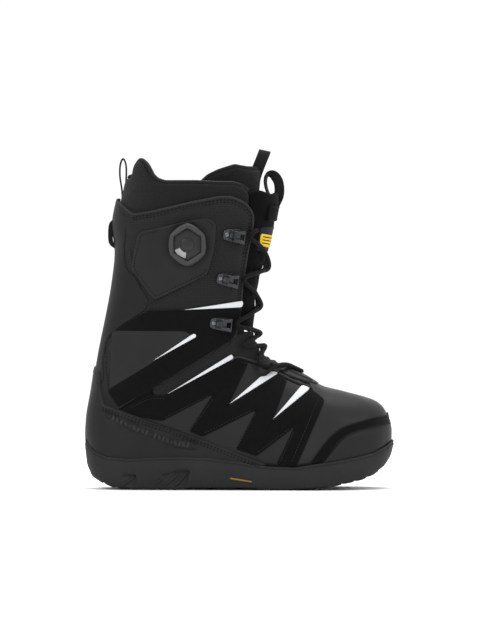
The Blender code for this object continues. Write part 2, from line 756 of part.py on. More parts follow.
def add_dial_pod():
    """Moulded frame that carries the reel, with a flat seat."""
    s, phi = locate(*DIAL)
    seat = on_boot(s, LATERAL * phi, 0).y / MM
    places, faces = filled(patch(DIAL_POD, LATERAL), 14)
    outer, inner = [], []
    for at, angle in places:
        point = on_boot(at, angle, POD[1])
        near = math.dist((point.x / MM, point.z / MM), DIAL) < 28
        outer.append(Vector((point.x, (seat - SEAT) * MM, point.z)) if near else point)
        inner.append(on_boot(at, angle, POD[0]))
    return solid_between("dial_pod", outer, inner, [tuple(f) for f in faces]), seat


def add_reel(seat):
    """Reel housing, spool, knob and cap, all round the dial's axis."""
    centre = Vector((DIAL[0], seat - SEAT, DIAL[1])) * MM
    housing = turned("reel_housing", (
        (0, 0.7), (17.2, 0.7), (17.2, 7), (15.6, 7), (15.6, 2), (0, 2),
    ), centre)
    spool = turned("reel_spool", (
        (0, 2.4), (14.6, 2.4), (14.6, 3.2), (9.5, 3.4), (9.5, 5.6), (14.6, 5.8), (14.6, 6.6),
        (3.4, 6.6), (3.4, 7.4), (0, 7.4),
    ), centre)
    knob = turned("reel_knob", (
        (18, 1.2), (19, 2.4), (19, 10.4), (17.2, 12.2), (12.5, 12.2), (12.5, 8), (17.6, 8),
    ), centre, 6)
    cap = turned("reel_cap", (
        (0, 8.2), (12.1, 8.2), (12.1, 10), (8, 10.6), (0, 10.6),
    ), centre, 6)
    return housing, spool, knob, cap


def add_harness():
    """Inner ankle wings that the reel's cable pulls together, and that cable."""
    made = []
    for word, side in SIDES.items():
        made.append(skin(f"ankle_harness_{word}", patch(HARNESS_WING, side), HARNESS, 14))
    points = []
    for x, z in smooth_path(CABLE, 4):
        s, phi = locate(x, z)
        points.append(on_boot(s, LATERAL * phi, -4.4))
    made.append(tube("reel_cable", points, CABLE_RADIUS))
    return made


def add_hook(name, x, z, side):
    """Riveted speed hook: a base plate with a bent-over horn."""
    here, forward, up, out = local_frame(x, z, side, 2.9)
    count = len(HOOK_PLATE)

    def place(a, b, c):
        return here + (forward * a + up * b + out * c) * MM

    base = [place(a, b, c) for c in (0, 1.5) for a, b in HOOK_PLATE]
    faces = [tuple(range(count)), tuple(range(2 * count - 1, count - 1, -1))]
    faces += [(k, count + k, count + (k + 1) % count, (k + 1) % count) for k in range(count)]
    plate = mesh_object(name, base, faces)
    horn = []
    for a, low, high, half in HORN:
        horn += [place(a, half, low), place(a, -half, low)]
        horn += [place(a, -half, high), place(a, half, high)]
    sides = []
    for k in range(3):
        a, b = 4 * k, 4 * (k + 1)
        sides += [(a + j, a + (j + 1) % 4, b + (j + 1) % 4, b + j) for j in range(4)]
    sides += [(0, 1, 2, 3), (15, 14, 13, 12)]
    combine(plate, mesh_object(f"cutter_{name}", horn, sides), "UNION")
    return plate


# ---------------------------------------------------------------- tongue, laces and loops


def add_outer_tongue():
    """Outer tongue between the cuff's front edges."""
    edge = tuple((x + 1.6, z) for x, z in CUFF_FRONT[:5])
    half = TONGUE_TOP + edge + ((1.5, 162), (40, 162))
    return skin("outer_tongue", over_top(half), TONGUE)


def add_tongue_base():
    """Soft base of the tongue, sewn in under the lace area of the lower part."""
    half = [(5.95, 0), (5.95, 0.35), (5.98, 0.62)]
    half += [(7, 0.62), (8.5, 0.55), (10, 0.5), (12, 0.5), (13.6, 0.5), (14.2, 0.4), (14.25, 0)]
    loop = half + [(s, -phi) for s, phi in half[-2:0:-1]]
    return skin("tongue_base", loop, (-6, -1.2), 13)


def add_lace_guide():
    """Smooth patch on the base of the tongue, over which the lace starts."""
    half = [(12.6, 0), (12.6, 0.3), (14.0, 0.3), (14.0, 0)]
    loop = half + [(s, -phi) for s, phi in half[-2:0:-1]]
    return skin("lace_guide", loop, (0.2, 1.2), 13)


def add_tongue_label():
    s_low, s_high = locate(32, 241.5)[0], locate(33, 253)[0]
    loop = [(s_high, -0.62), (s_high, -0.2), (s_low, -0.2), (s_low, -0.62)]
    return skin("tongue_label", loop, (0.6, 1.4), 5)


def strap(name, path, width, thickness):
    """A strap in the boot's middle plane along a smooth side-view path."""
    points = [(x, 0, z) for x, z in smooth_path(path, 4)]
    return ribbon(name, points, (0, 1, 0), width, thickness)


def add_straps():
    """Webbing loops in the boot's middle plane: on the tongue, the liner's tongue and the heel."""
    return [strap(*row) for row in (
        ("tongue_pull_loop", (
            (38.4, 272), (40.6, 283), (44, 299), (41, 311), (34, 316.5), (29.6, 313),
            (29.6, 306), (34.5, 299),
        ), 16, 2),
        ("liner_tongue_loop", (
            (21.8, 315), (23.6, 322), (30, 332), (26, 338.2), (17, 332), (10.2, 324),
            (9.8, 314),
        ), 12, 1.6),
        ("liner_heel_loop", (
            (-115.2, 291), (-111.5, 312), (-114, 329.5), (-120, 314), (-117.4, 293),
        ), 12, 1.6),
        ("heel_keeper", ((-130, 268), (-131.4, 262), (-131, 247), (-128.3, 240)), 14, 1.8),
    )]


def add_lace_loops():
    """Webbing loops at the edge of the lower part, with the lace through their eyes."""
    made = []
    for word, side in SIDES.items():
        s, phi, depth = LACE_EYE
        centre = on_boot(s, side * phi, depth)
        ahead = on_boot(s + 0.8, side * (phi - 0.22), depth - 2)
        along = (ahead - on_boot(s - 0.8, side * phi, depth)).normalized()
        out = (on_boot(s, side * phi, depth + 1) - centre).normalized()
        down = along.cross(out).normalized()
        if down.dot(on_boot(s, side * (phi + 0.1), depth) - centre) < 0:
            down = -down
        path = [on_boot(s, side * (phi + 0.34), 7.0), on_boot(s, side * (phi + 0.26), 7.0)]
        for k in range(9):
            angle = math.radians(-70 - 220 * k / 8)
            path.append(centre + (down * math.cos(angle) + out * math.sin(angle)) * 4.5 * MM)
        path += [on_boot(s, side * (phi + 0.26), 9.4), on_boot(s, side * (phi + 0.34), 8.8)]
        made.append(ribbon(f"lace_loop_{word}", [p / MM for p in path], along, 5, 1.2))
    return made


def lace_points(side):
    """Half of the lace: from the vamp up through loop and hooks, crossing over at each gap."""
    route = [(s, phi * side, depth) for s, phi, depth in LACE_START]
    turns = [LACE_LOW_TURN] + [locate(x + HOOK_REACH, z) for x, z in reversed(HOOKS)]
    turn = -side
    for (s, sign), (hook_s, hook_phi) in zip(LACE_CROSSINGS, turns):
        route.append((s, 0, LACE_OVER if sign * side > 0 else LACE_UNDER))
        phi = turn * (hook_phi - 0.03)
        route += [(hook_s + 0.12, phi, 6.4), (hook_s - 0.12, phi, 6.4)]
        turn = -turn
    tuck_s, tuck_phi = locate(*LACE_TUCK)
    route.append((tuck_s, -turn * tuck_phi, 3.6))
    return route


def add_laces():
    made = []
    for word, side in SIDES.items():
        places = smooth_path(lace_points(side), 4)
        made.append(tube(f"lace_{word}", [on_boot(*p) for p in places], LACE_RADIUS))
    return made


# ---------------------------------------------------------------- colours


FINISHES = {
    "rubber": ((0.018, 0.018, 0.019), 0.6, 0),
    "foam": ((0.06, 0.06, 0.065), 0.9, 0),
    "leather": ((0.03, 0.031, 0.033), 0.5, 0),
    "suede": ((0.008, 0.008, 0.009), 0.95, 0),
    "spike": ((0.45, 0.46, 0.47), 0.45, 0),
    "mesh": ((0.02, 0.02, 0.022), 0.85, 0),
    "webbing": ((0.01, 0.01, 0.011), 0.8, 0),
    "metal": ((0.2, 0.2, 0.21), 0.35, 1),
    "plastic": ((0.02, 0.02, 0.022), 0.4, 0),
    "yellow": ((0.8, 0.55, 0.02), 0.6, 0),
    "gold": ((0.5, 0.33, 0.06), 0.4, 1),
}
FINISH_OF = (
    ("sole_badge", "gold"), ("outsole", "rubber"), ("toe_bumper", "rubber"),
    ("heel_counter", "rubber"),
    ("midsole", "foam"), ("heel_pad", "foam"), ("footbed", "foam"),
    ("suede", "suede"), ("toe_strip", "suede"), ("spike", "spike"), ("hook", "metal"),
    ("liner_tongue_loop", "webbing"), ("liner_heel_loop", "webbing"), ("liner", "mesh"),
    ("ankle_gusset", "mesh"), ("tongue_label", "yellow"), ("tongue_pull", "webbing"),
    ("heel_keeper", "webbing"), ("lace_guide", "plastic"), ("lace", "webbing"), ("reel", "plastic"),
    ("dial_pod", "plastic"), ("shank", "plastic"), ("lasting_board", "foam"),
    ("ankle_harness", "webbing"), ("", "leather"),
)


def add_materials():
    made = {}
    for name, (colour, roughness, metallic) in FINISHES.items():
        material = bpy.data.materials.new(name)
        material.use_nodes = True
        shader = material.node_tree.nodes["Principled BSDF"]
        shader.inputs["Base Color"].default_value = (*colour, 1)
        shader.inputs["Roughness"].default_value = roughness
        shader.inputs["Metallic"].default_value = metallic
        made[name] = material
    for obj in bpy.data.objects:
        if obj.type in ("MESH", "CURVE"):
            finish = next(f for start, f in FINISH_OF if obj.name.startswith(start))
            obj.data.materials.append(made[finish])


# ---------------------------------------------------------------- joints


def pivot(name, place, parent=None):
    empty = bpy.data.objects.new(name, None)
    bpy.context.scene.collection.objects.link(empty)
    empty.location = Vector(place) * MM
    hang(empty, parent)
    return empty


def hang(obj, parent):
    """Parents the object and keeps it where it is."""
    if parent is None:
        return
    bpy.context.view_layer.update()
    place = obj.matrix_world.copy()
    obj.parent = parent
    obj.matrix_parent_inverse = parent.matrix_world.inverted()
    obj.matrix_world = place


def main():
    clear_scene()
    add_outsole()
    add_inner_sole_parts()
    add_sole_badge()
    add_quarters()
    add_vamp()
    add_toe_parts()
    add_counter()
    add_lower_trim()
    add_gusset()
    add_footbed_and_liner()
    tongue_base = [add_tongue_base(), add_lace_guide()]
    cuff = [add_cuff(), add_liner_cuff(), add_liner_tongue(), add_backstay(), *add_cuff_trim()]
    pod, seat = add_dial_pod()
    housing, spool, knob, cap = add_reel(seat)
    cuff += [pod, housing, *add_harness(), *add_laces()]
    for k, (x, z) in enumerate(HOOKS, 1):
        cuff += [add_hook(f"hook_{word}_{k}", x, z, side) for word, side in SIDES.items()]
    tongue_loop, *other_loops = add_straps()
    cuff += other_loops
    add_lace_loops()
    tongue = [add_outer_tongue(), add_tongue_label(), tongue_loop]
    add_materials()
    ankle = pivot("ankle_pivot", (ANKLE[0], 0, ANKLE[1]))
    for obj in cuff:
        hang(obj, ankle)
    throat = pivot("tongue_pivot", (THROAT[0], 0, THROAT[1]), ankle)
    for obj in tongue:
        hang(obj, throat)
    dial = pivot("dial_pivot", (DIAL[0], seat, DIAL[1]), ankle)
    for obj in (spool, knob, cap):
        hang(obj, dial)


main()
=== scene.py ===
"""Looks of the right snowboard boot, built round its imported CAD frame.

The upper follows the same chart as the CAD: a place on it is (s, phi, depth). s counts the sections
from the cuff's top to the toe, phi runs round a section from its front or top (0) to its heel or
sole end (pi), and depth is how far outside the upper's face it lies. Chart sizes are in millimetres.
"""

import math

import bpy
import numpy as np
from mathutils import Euler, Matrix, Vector
from mathutils.geometry import delaunay_2d_cdt

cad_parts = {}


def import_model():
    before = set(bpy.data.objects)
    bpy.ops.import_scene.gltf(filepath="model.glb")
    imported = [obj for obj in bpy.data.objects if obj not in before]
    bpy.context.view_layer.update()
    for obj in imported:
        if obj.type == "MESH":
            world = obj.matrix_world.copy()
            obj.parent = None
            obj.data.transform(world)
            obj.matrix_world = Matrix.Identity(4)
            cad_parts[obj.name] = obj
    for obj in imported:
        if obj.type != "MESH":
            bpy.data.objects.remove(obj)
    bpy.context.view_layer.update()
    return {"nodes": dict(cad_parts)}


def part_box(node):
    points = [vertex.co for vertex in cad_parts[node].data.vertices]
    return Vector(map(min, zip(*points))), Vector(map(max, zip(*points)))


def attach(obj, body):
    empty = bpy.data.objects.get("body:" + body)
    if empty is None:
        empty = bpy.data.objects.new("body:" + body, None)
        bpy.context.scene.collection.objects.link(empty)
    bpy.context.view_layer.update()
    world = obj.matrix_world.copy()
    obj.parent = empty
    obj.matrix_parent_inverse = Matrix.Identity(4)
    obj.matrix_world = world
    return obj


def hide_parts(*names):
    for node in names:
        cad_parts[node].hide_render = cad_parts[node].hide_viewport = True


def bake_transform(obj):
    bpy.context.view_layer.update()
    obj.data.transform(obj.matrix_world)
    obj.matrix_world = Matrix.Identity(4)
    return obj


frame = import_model()

MM = 0.001
LATERAL, MEDIAL = -1, 1
SIDES = {"lateral": LATERAL, "medial": MEDIAL}

# ---------------------------------------------------------------- camera and cords

CAMERA_DISTANCE = 5.5
VIEW_HEIGHT = 0.64
AIM = Vector((0.001, 0, 0.1685))
CAMERA_RISE = math.radians(0.6)

DIAL = (-51, 243.6)
HOOKS = ((-6, 252.5), (-12.3, 209), (-19.2, 165))
LACE_RADIUS = 2.2
STITCH_SUNK = 0.15
RIM_FADE = 5
BRAID_PITCH = 5.2
MESH_PITCH = 2.5
LACE_EYE = (11.2, 0.62, 8.2)
LACE_START = ((13.4, 0, 2.2), (13.2, 0.08, 2.3), (12.4, 0.22, 3.0), LACE_EYE, (9.6, 0.6, 7.4))
LACE_CROSSINGS = ((8.1, 1), (6.1, -1), (4.8, 1), (3.5, -1))
LACE_OVER, LACE_UNDER, LACE_ON_TONGUE = 5.7, 2.0, 2.8
LACE_LOW_TURN = (7.0, 0.72)
LACE_TUCK = (15.5, 258)
HOOK_REACH = 13.8

# ---------------------------------------------------------------- outlines

SECTIONS = (
    (-112, 332, 44, 332, 58, 0, 2.3, 2.4),
    (-119, 300, 42, 300, 58, 0, 2.3, 2.4),
    (-125.5, 266, 36.5, 266, 57, 0, 2.4, 2.4),
    (-123, 236, 28.5, 236, 54.5, 0, 2.4, 2.4),
    (-126, 206, 19.8, 206, 51, 0, 2.4, 2.4),
    (-131.5, 177, 16, 178, 48, 0, 2.4, 2.3),
    (-139, 138, 16, 156, 46, 0, 2.4, 2.2),
    (-145, 102, 18, 147, 45, 0, 2.5, 2.2),
    (-150.3, 70, 20.5, 141, 44, 0, 2.6, 2.2),
    (-149.8, 42, 25, 135.5, 43, 0, 2.8, 2.2),
    (-137, 20, 31, 131.5, 43, 0, 3.2, 2.2),
    (-96, 18, 38, 128, 43.5, 0, 3.8, 2.2),
    (-52, 18, 47, 123.5, 45.5, -1, 4, 2.2),
    (-8, 17, 57, 118, 48.5, -2.5, 4, 2.2),
    (32, 16, 69, 111.5, 52, -3, 4.6, 2.3),
    (68, 16, 85, 102.5, 54.5, -2, 5, 2.3),
    (98, 18, 104, 97.5, 53.5, 1, 5, 2.3),
    (122, 22, 124, 92.5, 47, 4, 4.6, 2.4),
    (138, 28, 139.5, 86, 36.5, 6, 4, 2.5),
    (146.6, 36, 148, 75, 23.5, 7, 3, 2.5),
    (150.2, 45, 150.7, 57, 9, 7.5, 2.2, 2.2),
)
LAST = len(SECTIONS) - 1
TOE_START = 16
FLAT = np.array((26.0, 46.0))

# Side views in millimetres; a third number is the radius of that corner.
CUFF_TOP = (
    (-127, 290), (-112, 277), (-106, 273), (-87, 276), (-49.5, 284.7), (-19, 290.5), (-7, 290.5),
    (7, 285, 8), (14.6, 275, 6),
)
CUFF_FRONT = ((14.8, 265.6), (12.3, 249), (8.2, 231), (4, 205), (2.4, 181), (-3.5, 152, 2))
CUFF_LOW = ((-9, 148.5), (-84, 103), (-104, 91), (-122, 78), (-133, 82), (-141, 102), (-150, 104))
QUARTER_TOP = (
    (-152, 99), (-138, 96), (-126, 74), (-116, 76.5), (-89, 92.5), (-71, 94.5), (-6, 129.5),
)
EYESTAY = ((0.8, 130.7), (13, 126.6), (27, 120.8), (50.5, 108.5), (70.5, 100.7), (85.4, 89.5))
LINER_TOP = (
    (-112, 310), (-110, 321), (-105, 328), (-101.5, 327.5), (-97.6, 324), (-91, 313), (-85, 308),
    (-77, 305.5), (-42, 305.5), (-18, 304.5), (-3, 304.5), (7, 302), (13, 297, 4),
)
LINER_FRONT = ((14, 290), (13.5, 274), (8, 249), (1, 231), (-3, 205), (-5, 181), (-10, 156))
LINER_TONGUE_SIDE = ((-38, 285), (-20, 240), (-16, 205), (-14, 181), (-12, 162))
LINER_LOW = ((-16, 145), (-84, 104), (-104, 92), (-120, 86), (-132, 96), (-136, 108), (-150, 108))
LINER_TONGUE_TOP = (
    (-46, 297), (-41, 303), (-27.5, 312), (-13.4, 316.8), (9.8, 322), (16, 321), (30, 319.5),
)
COUNTER_TOP = ((-154, 121), (-145, 121.5), (-137, 119, 3), (-136.5, 100), (-133, 85), (-120, 80.4), (-29, 48.5))
SOLE_TOP = (
    (-160, 52), (-153, 50), (-145, 39), (-131.6, 33), (-109, 31), (-84, 32.7), (-51, 33),
    (-29, 32), (2.5, 28), (27, 24), (56, 23), (77, 26.5), (92.5, 28.5), (117, 33), (134, 37),
    (146, 43), (153, 48.5), (160, 50),
)
SOLE_BOTTOM = (
    (-160, 40), (-154, 27), (-146.6, 13), (-136, 6.6), (-126, 2.5), (-106, 0), (-56, 0),
    (-48, 1.7), (10, 1.7), (20, 0), (51, 0), (88, 2.5), (113, 8), (122, 10), (134, 15),
    (144.7, 22.3), (152, 31.4), (156, 40),
)
TOE_STRIP_TOP = (
    (71, 28), (84, 46.4), (96.6, 58.8), (109, 65.5), (134, 72), (142, 73.4), (147.6, 73.6),
)
TOE_STRIP_LOW = ((149.4, 65), (142, 64), (117, 58.8), (104, 53), (95.8, 45.5), (83, 29))
SUEDE_LOWER = (
    (-123, 77, 4), (-89, 94.5), (-71.4, 94.5), (-6, 129.8), (0.8, 130.2), (10, 127), (-8.6, 88, 1),
    (-10.6, 84.6, 0.5), (-9.4, 84.2, 0.5), (39, 115), (48, 109.5), (34, 71, 1), (32.6, 69.6, 0.5),
    (34.2, 69.4, 0.5), (71, 100.7), (85.4, 89.5, 2), (57, 24, 2), (37, 26, 2), (53.9, 62, 1), (17.4, 34, 1),
    (-3.3, 41, 1), (16.6, 79.5, 1), (-36, 53.2, 1), (-49.6, 58.8, 1), (-26.6, 94.5, 1), (-76, 68.5, 1),
)
SUEDE_CUFF = (
    (-91, 178, 3), (2.6, 180.5, 1), (0, 170), (-3.6, 154, 2), (-9, 148, 1), (-84, 102.5), (-119.6, 82, 3),
    (-131, 99, 3), (-43.5, 152, 1), (-54, 157.6, 2), (-125.4, 158, 1),
)
DIAL_POD = (
    (-99, 256.5, 5), (-31, 271, 7), (-22, 265.6, 7), (-24.6, 240.7), (-31, 213, 5), (-84, 188, 4), (-107, 220, 5),
)
BACKSTAY = (
    (-124, 290), (-119, 285), (-111, 266), (-113.5, 240), (-112, 219, 6), (-104, 213, 4), (-89, 188, 4),
    (-92.7, 179, 3), (-125.8, 157, 6), (-131.6, 147), (-134.5, 129), (-134.5, 108), (-150, 108),
)
SPIKES = {
    "b": ((-85, 128.5), (-44.2, 156.4), (-41.8, 152.6), 1.9),
    "c": ((-71.4, 95.3), (-8.4, 134.6), (-5.6, 130.6), 1.0),
    "d": ((-10, 85.3), (27.3, 117.7), (38.9, 115.6), 0.8),
    "e": ((33, 70.4), (62, 103.6), (70.5, 100.2), 0.8),
}
SPIKE_A = ((-55, 179), (2.8, 188), (2.2, 181.4), 0.8)
GUSSET_TOP = ((-86, 105), (-10, 149.5))
GUSSET_LOW = ((-84, 90.5), (-4, 131.5))


# ---------------------------------------------------------------- the chart of the boot


def section(s):
    """The sections at the values s, on a smooth curve through the listed ones, one row for each."""
    rows = np.array(SECTIONS, float)
    s = np.clip(np.asarray(s, float), 0, LAST)
    i = np.minimum(s.astype(int), LAST - 1)
    t = (s - i)[..., None]
    a, b, c, d = (rows[np.clip(i + k, 0, LAST)] for k in (-1, 0, 1, 2))
    return 0.5 * (2 * b + (c - a) * t + (2 * a - 5 * b + 4 * c - d) * t**2 + (3 * b - a - 3 * c + d) * t**3)


def power(value, exponent):
    return np.copysign(np.abs(value) ** exponent, value)


def ripple(s, phi):
    """Slow waves that keep leather from looking machined, in millimetres."""
    return 0.3 * np.sin(2.3 * s + 1.4 * np.sin(1.9 * phi)) * np.sin(3.3 * phi + 0.7 * s)


def on_boot(places, depth):
    """Points in metres for rows of (s, phi) and a depth or one for each row."""
    places = np.atleast_2d(np.asarray(places, float))
    s, phi = places[:, 0], places[:, 1]
    rear_x, rear_z, front_x, front_z, half, shift, square_rear, square_front = section(s).T
    depth = np.asarray(depth, float) + ripple(s, phi)
    square = np.where(np.cos(phi) > 0, square_front, square_rear)
    along, across = power(np.cos(phi), 2 / square), power(np.sin(phi), 2 / square)
    reach_x, reach_z = (front_x - rear_x) / 2, (front_z - rear_z) / 2
    grown = 1 + depth / np.hypot(reach_x, reach_z)
    toe = np.clip((s - TOE_START) / (LAST - TOE_START), 0, 1) ** 2
    x = (rear_x + front_x) / 2 + reach_x * grown * along + toe * depth
    z = (rear_z + front_z) / 2 + reach_z * grown * along
    return np.stack([x, shift + (half + depth) * across, z], axis=1) * MM


FINE_S = np.linspace(0, LAST, LAST * 20 + 1)
FINE = section(FINE_S)


def locate(points):
    """Rows of (s, phi) for the places that a side view shows at rows of (x, z)."""
    points = np.atleast_2d(np.asarray(points, float))
    x, z = points[:, :1], points[:, 1:2]
    rear_x, rear_z, front_x, front_z = (FINE[None, :, k] for k in range(4))
    run_x, run_z = front_x - rear_x, front_z - rear_z
    turn = run_x * (z - rear_z) - run_z * (x - rear_x)
    share = ((x - rear_x) * run_x + (z - rear_z) * run_z) / (run_x**2 + run_z**2)
    part = turn[:, :-1] / (turn[:, :-1] - turn[:, 1:] + 1e-12)
    shares = share[:, :-1] + part * (share[:, 1:] - share[:, :-1])
    bad = (turn[:, :-1] >= 0) | (turn[:, 1:] < 0) | (shares < -0.3) | (shares > 1.3)
    cost = np.abs(shares - 0.5) + 1e6 * bad
    best = cost.argmin(1)
    rows = np.arange(len(points))
    s = FINE_S[best] + part[rows, best] * (FINE_S[1] - FINE_S[0])
    along = shares[rows, best]
    for k in np.nonzero(cost[rows, best] > 1e5)[0]:
        s[k], along[k] = nearest_on_edge(*points[k, :2])
    along = 2 * np.clip(along, 0, 1) - 1
    found = section(s)
    square = np.where(along > 0, found[:, 7], found[:, 6])
    return np.stack([s, np.arccos(np.clip(power(along, square / 2), -1, 1))], axis=1)


def nearest_on_edge(x, z):
    """(s, share) of the nearest place on the boot's outline, for a point outside it."""
    spots = [(FINE[:, 0:2], FINE_S, np.zeros(len(FINE))), (FINE[:, 2:4], FINE_S, np.ones(len(FINE)))]
    shares = np.linspace(0, 1, 60)
    for k in (0, -1):
        line = FINE[k, 0:2] + shares[:, None] * (FINE[k, 2:4] - FINE[k, 0:2])
        spots.append((line, np.full(60, FINE_S[k]), shares))
    where, s, share = (np.concatenate([spot[k] for spot in spots]) for k in range(3))
    best = np.hypot(where[:, 0] - x, where[:, 1] - z).argmin()
    return s[best], share[best]


# ---------------------------------------------------------------- lines on the boot


def evenly(path, step, closed=False):
    """A polyline of any dimension resampled so that its points are about step apart."""
    path = np.asarray(path, float)
    if closed:
        path = np.vstack([path, path[:1]])
    spans = np.linalg.norm(np.diff(path, axis=0), axis=1)
    at = np.concatenate([[0], np.cumsum(spans)])
    count = max(2, int(round(at[-1] / step)))
    wanted = np.linspace(0, at[-1], count + 1)
    out = np.stack([np.interp(wanted, at, path[:, k]) for k in range(path.shape[1])], axis=1)
    return out[:-1] if closed else out


def evenly_on_boot(path, step, closed=False, depth=0):
    """Rows of (s, phi) resampled so that they are about step millimetres apart on the boot."""
    path = np.asarray(path, float)
    if closed:
        path = np.vstack([path, path[:1]])
    fine = [path[0]]
    for a, b in zip(path, path[1:]):
        fine += [a + (b - a) * k / 6 for k in range(1, 7)]
    fine = np.array(fine)
    spans = np.linalg.norm(np.diff(on_boot(fine, depth), axis=0), axis=1) / MM
    at = np.concatenate([[0], np.cumsum(spans)])
    count = max(2, int(round(at[-1] / step)))
    wanted = np.linspace(0, at[-1], count + 1)
    out = np.stack([np.interp(wanted, at, fine[:, k]) for k in (0, 1)], axis=1)
    return out[:-1] if closed else out


def rounded(points, radius=2.0, closed=True):
    """An outline with each corner rounded; a corner's third number is its own radius."""
    count, out = len(points), []
    for k, point in enumerate(points):
        here = np.array(point[:2], float)
        if not closed and k in (0, count - 1):
            out.append(here)
            continue
        before, after = (np.array(points[(k + j) % count][:2], float) for j in (-1, 1))
        reach = point[2] if len(point) > 2 else radius
        back, on = before - here, after - here
        a = here + back * min(0.45, reach / np.linalg.norm(back))
        b = here + on * min(0.45, reach / np.linalg.norm(on))
        out += [a * (1 - t) ** 2 + here * 2 * t * (1 - t) + b * t * t for t in np.linspace(0, 1, 6)]
    return np.array(out)


def smooth_path(points, per_span=6):
    """Points on a smooth curve through the given ones."""
    points = np.asarray(points, float)
    count = len(points)
    i = np.repeat(np.arange(count - 1), per_span)
    t = np.tile(np.arange(per_span) / per_span, count - 1)[:, None]
    a, b, c, d = (points[np.clip(i + k, 0, count - 1)] for k in (-1, 0, 1, 2))
    out = 0.5 * (2 * b + (c - a) * t + (2 * a - 5 * b + 4 * c - d) * t**2 + (3 * b - a - 3 * c + d) * t**3)
    return np.vstack([out, points[-1:]])


def on_side(points, side, closed=False):
    """A side-view line as rows of (s, phi) on one side of the boot."""
    found = locate(evenly(rounded(points, closed=closed), 2.0, closed))
    return found * (1, side)


def patch(points, side):
    return on_side(points, side, closed=True)


def mirrored_about(half, centre):
    """Half a loop, which starts and ends on a centre line, made whole. centre is pi or 0."""
    half[[0, -1], 1] = centre
    middle = half[1:-1]
    middle = middle[np.abs(middle[:, 1] - centre) > 0.012]
    half = np.vstack([half[:1], middle, half[-1:]])
    other = middle[::-1] * (1, -1) + (0, 2 * centre)
    return np.vstack([half, other])


def round_heel(points):
    return mirrored_about(on_side(points, 1), math.pi)


def over_top(points):
    return mirrored_about(on_side(points, 1), 0.0)


def slopes(places):
    """How a point moves with s and with phi, in millimetres."""
    e = 1e-3
    by_s = (on_boot(places + (e, 0), 0) - on_boot(places - (e, 0), 0)) / (2 * e * MM)
    by_phi = (on_boot(places + (0, e), 0) - on_boot(places - (0, e), 0)) / (2 * e * MM)
    return by_s, by_phi


def inset(path, distance, closed=False):
    """The line moved to its left on the boot's face, as seen with s to the right and phi up."""
    path = np.asarray(path, float)
    if closed:
        run = np.roll(path, -1, axis=0) - np.roll(path, 1, axis=0)
    else:
        run = np.gradient(path, axis=0)
    by_s, by_phi = slopes(path)
    e, f, g = ((a * b).sum(1) for a, b in ((by_s, by_s), (by_s, by_phi), (by_phi, by_phi)))
    turned = np.stack([-(f * run[:, 0] + g * run[:, 1]), e * run[:, 0] + f * run[:, 1]], axis=1)
    length = np.sqrt(e * turned[:, 0] ** 2 + 2 * f * turned[:, 0] * turned[:, 1] + g * turned[:, 1] ** 2)
    return path + turned / np.maximum(length, 1e-9)[:, None] * distance


def anticlockwise(loop):
    x, y = loop.T
    return loop if (x * np.roll(y, -1) - np.roll(x, -1) * y).sum() > 0 else loop[::-1]


def inside(points, loop):
    """Which points lie in the loop."""
    x, y = points[:, :1], points[:, 1:2]
    ax, ay = loop[None, :, 0], loop[None, :, 1]
    bx, by = np.roll(ax, -1, axis=1), np.roll(ay, -1, axis=1)
    crosses = (ay > y) != (by > y)
    at = (bx - ax) * (y - ay) / np.where(by == ay, 1e-12, by - ay) + ax
    return (crosses & (x < at)).sum(1) % 2 == 1


def distances(points, line):
    """How far each point is from the closed polyline."""
    run = np.roll(line, -1, axis=0) - line
    span = np.maximum((run**2).sum(1), 1e-18)
    out = np.empty(len(points))
    for start in range(0, len(points), 2000):
        part = points[start : start + 2000, None, :] - line[None]
        t = np.clip((part * run[None]).sum(2) / span, 0, 1)[:, :, None]
        out[start : start + 2000] = np.sqrt((((part - t * run[None]) ** 2).sum(2)).min(1))
    return out


# ---------------------------------------------------------------- meshes


class Pile:
    """Vertices, faces and per-corner coordinates that grow piece by piece into one mesh."""

    def __init__(self):
        self.verts, self.faces, self.uv, self.edge, self.count = [], [], [], [], 0

    def add(self, verts, faces, uv=None, edge=None):
        verts = np.asarray(verts, float)
        self.verts.append(verts)
        self.faces += [tuple(int(i) + self.count for i in face) for face in faces]
        self.uv.append(np.zeros((len(verts), 2)) if uv is None else np.asarray(uv, float))
        self.edge.append(np.ones(len(verts)) if edge is None else np.asarray(edge, float))
        self.count += len(verts)

    def object(self, name, crease=50):
        mesh = bpy.data.meshes.new(name)
        verts, uv = np.vstack(self.verts), np.vstack(self.uv)
        mesh.from_pydata([tuple(v) for v in verts], [], self.faces)
        layer = mesh.uv_layers.new(name="flat")
        corners = np.empty(len(mesh.loops), np.int32)
        mesh.loops.foreach_get("vertex_index", corners)
        layer.data.foreach_set("uv", uv[corners].astype(np.float32).ravel())
        rim = mesh.attributes.new("rim", "FLOAT", "POINT")
        rim.data.foreach_set("value", np.concatenate(self.edge).astype(np.float32))
        mesh.shade_smooth()
        mesh.set_sharp_from_angle(angle=math.radians(crease))
        obj = bpy.data.objects.new(name, mesh)
        bpy.context.scene.collection.objects.link(obj)
        return obj


def flat_uv(places):
    """Millimetres round the boot from its side line, and millimetres up."""
    s, phi = places.T
    steps = 12
    side = np.where(phi < 0, -math.pi / 2, math.pi / 2)
    total = np.zeros(len(s))
    last = on_boot(np.stack([s, side], axis=1), 0)
    for k in range(1, steps + 1):
        here = on_boot(np.stack([s, side + (phi - side) * k / steps], axis=1), 0)
        total += np.linalg.norm(here - last, axis=1) / MM
        last = here
    return np.stack([np.copysign(total, phi - side), last[:, 2] / MM], axis=1)


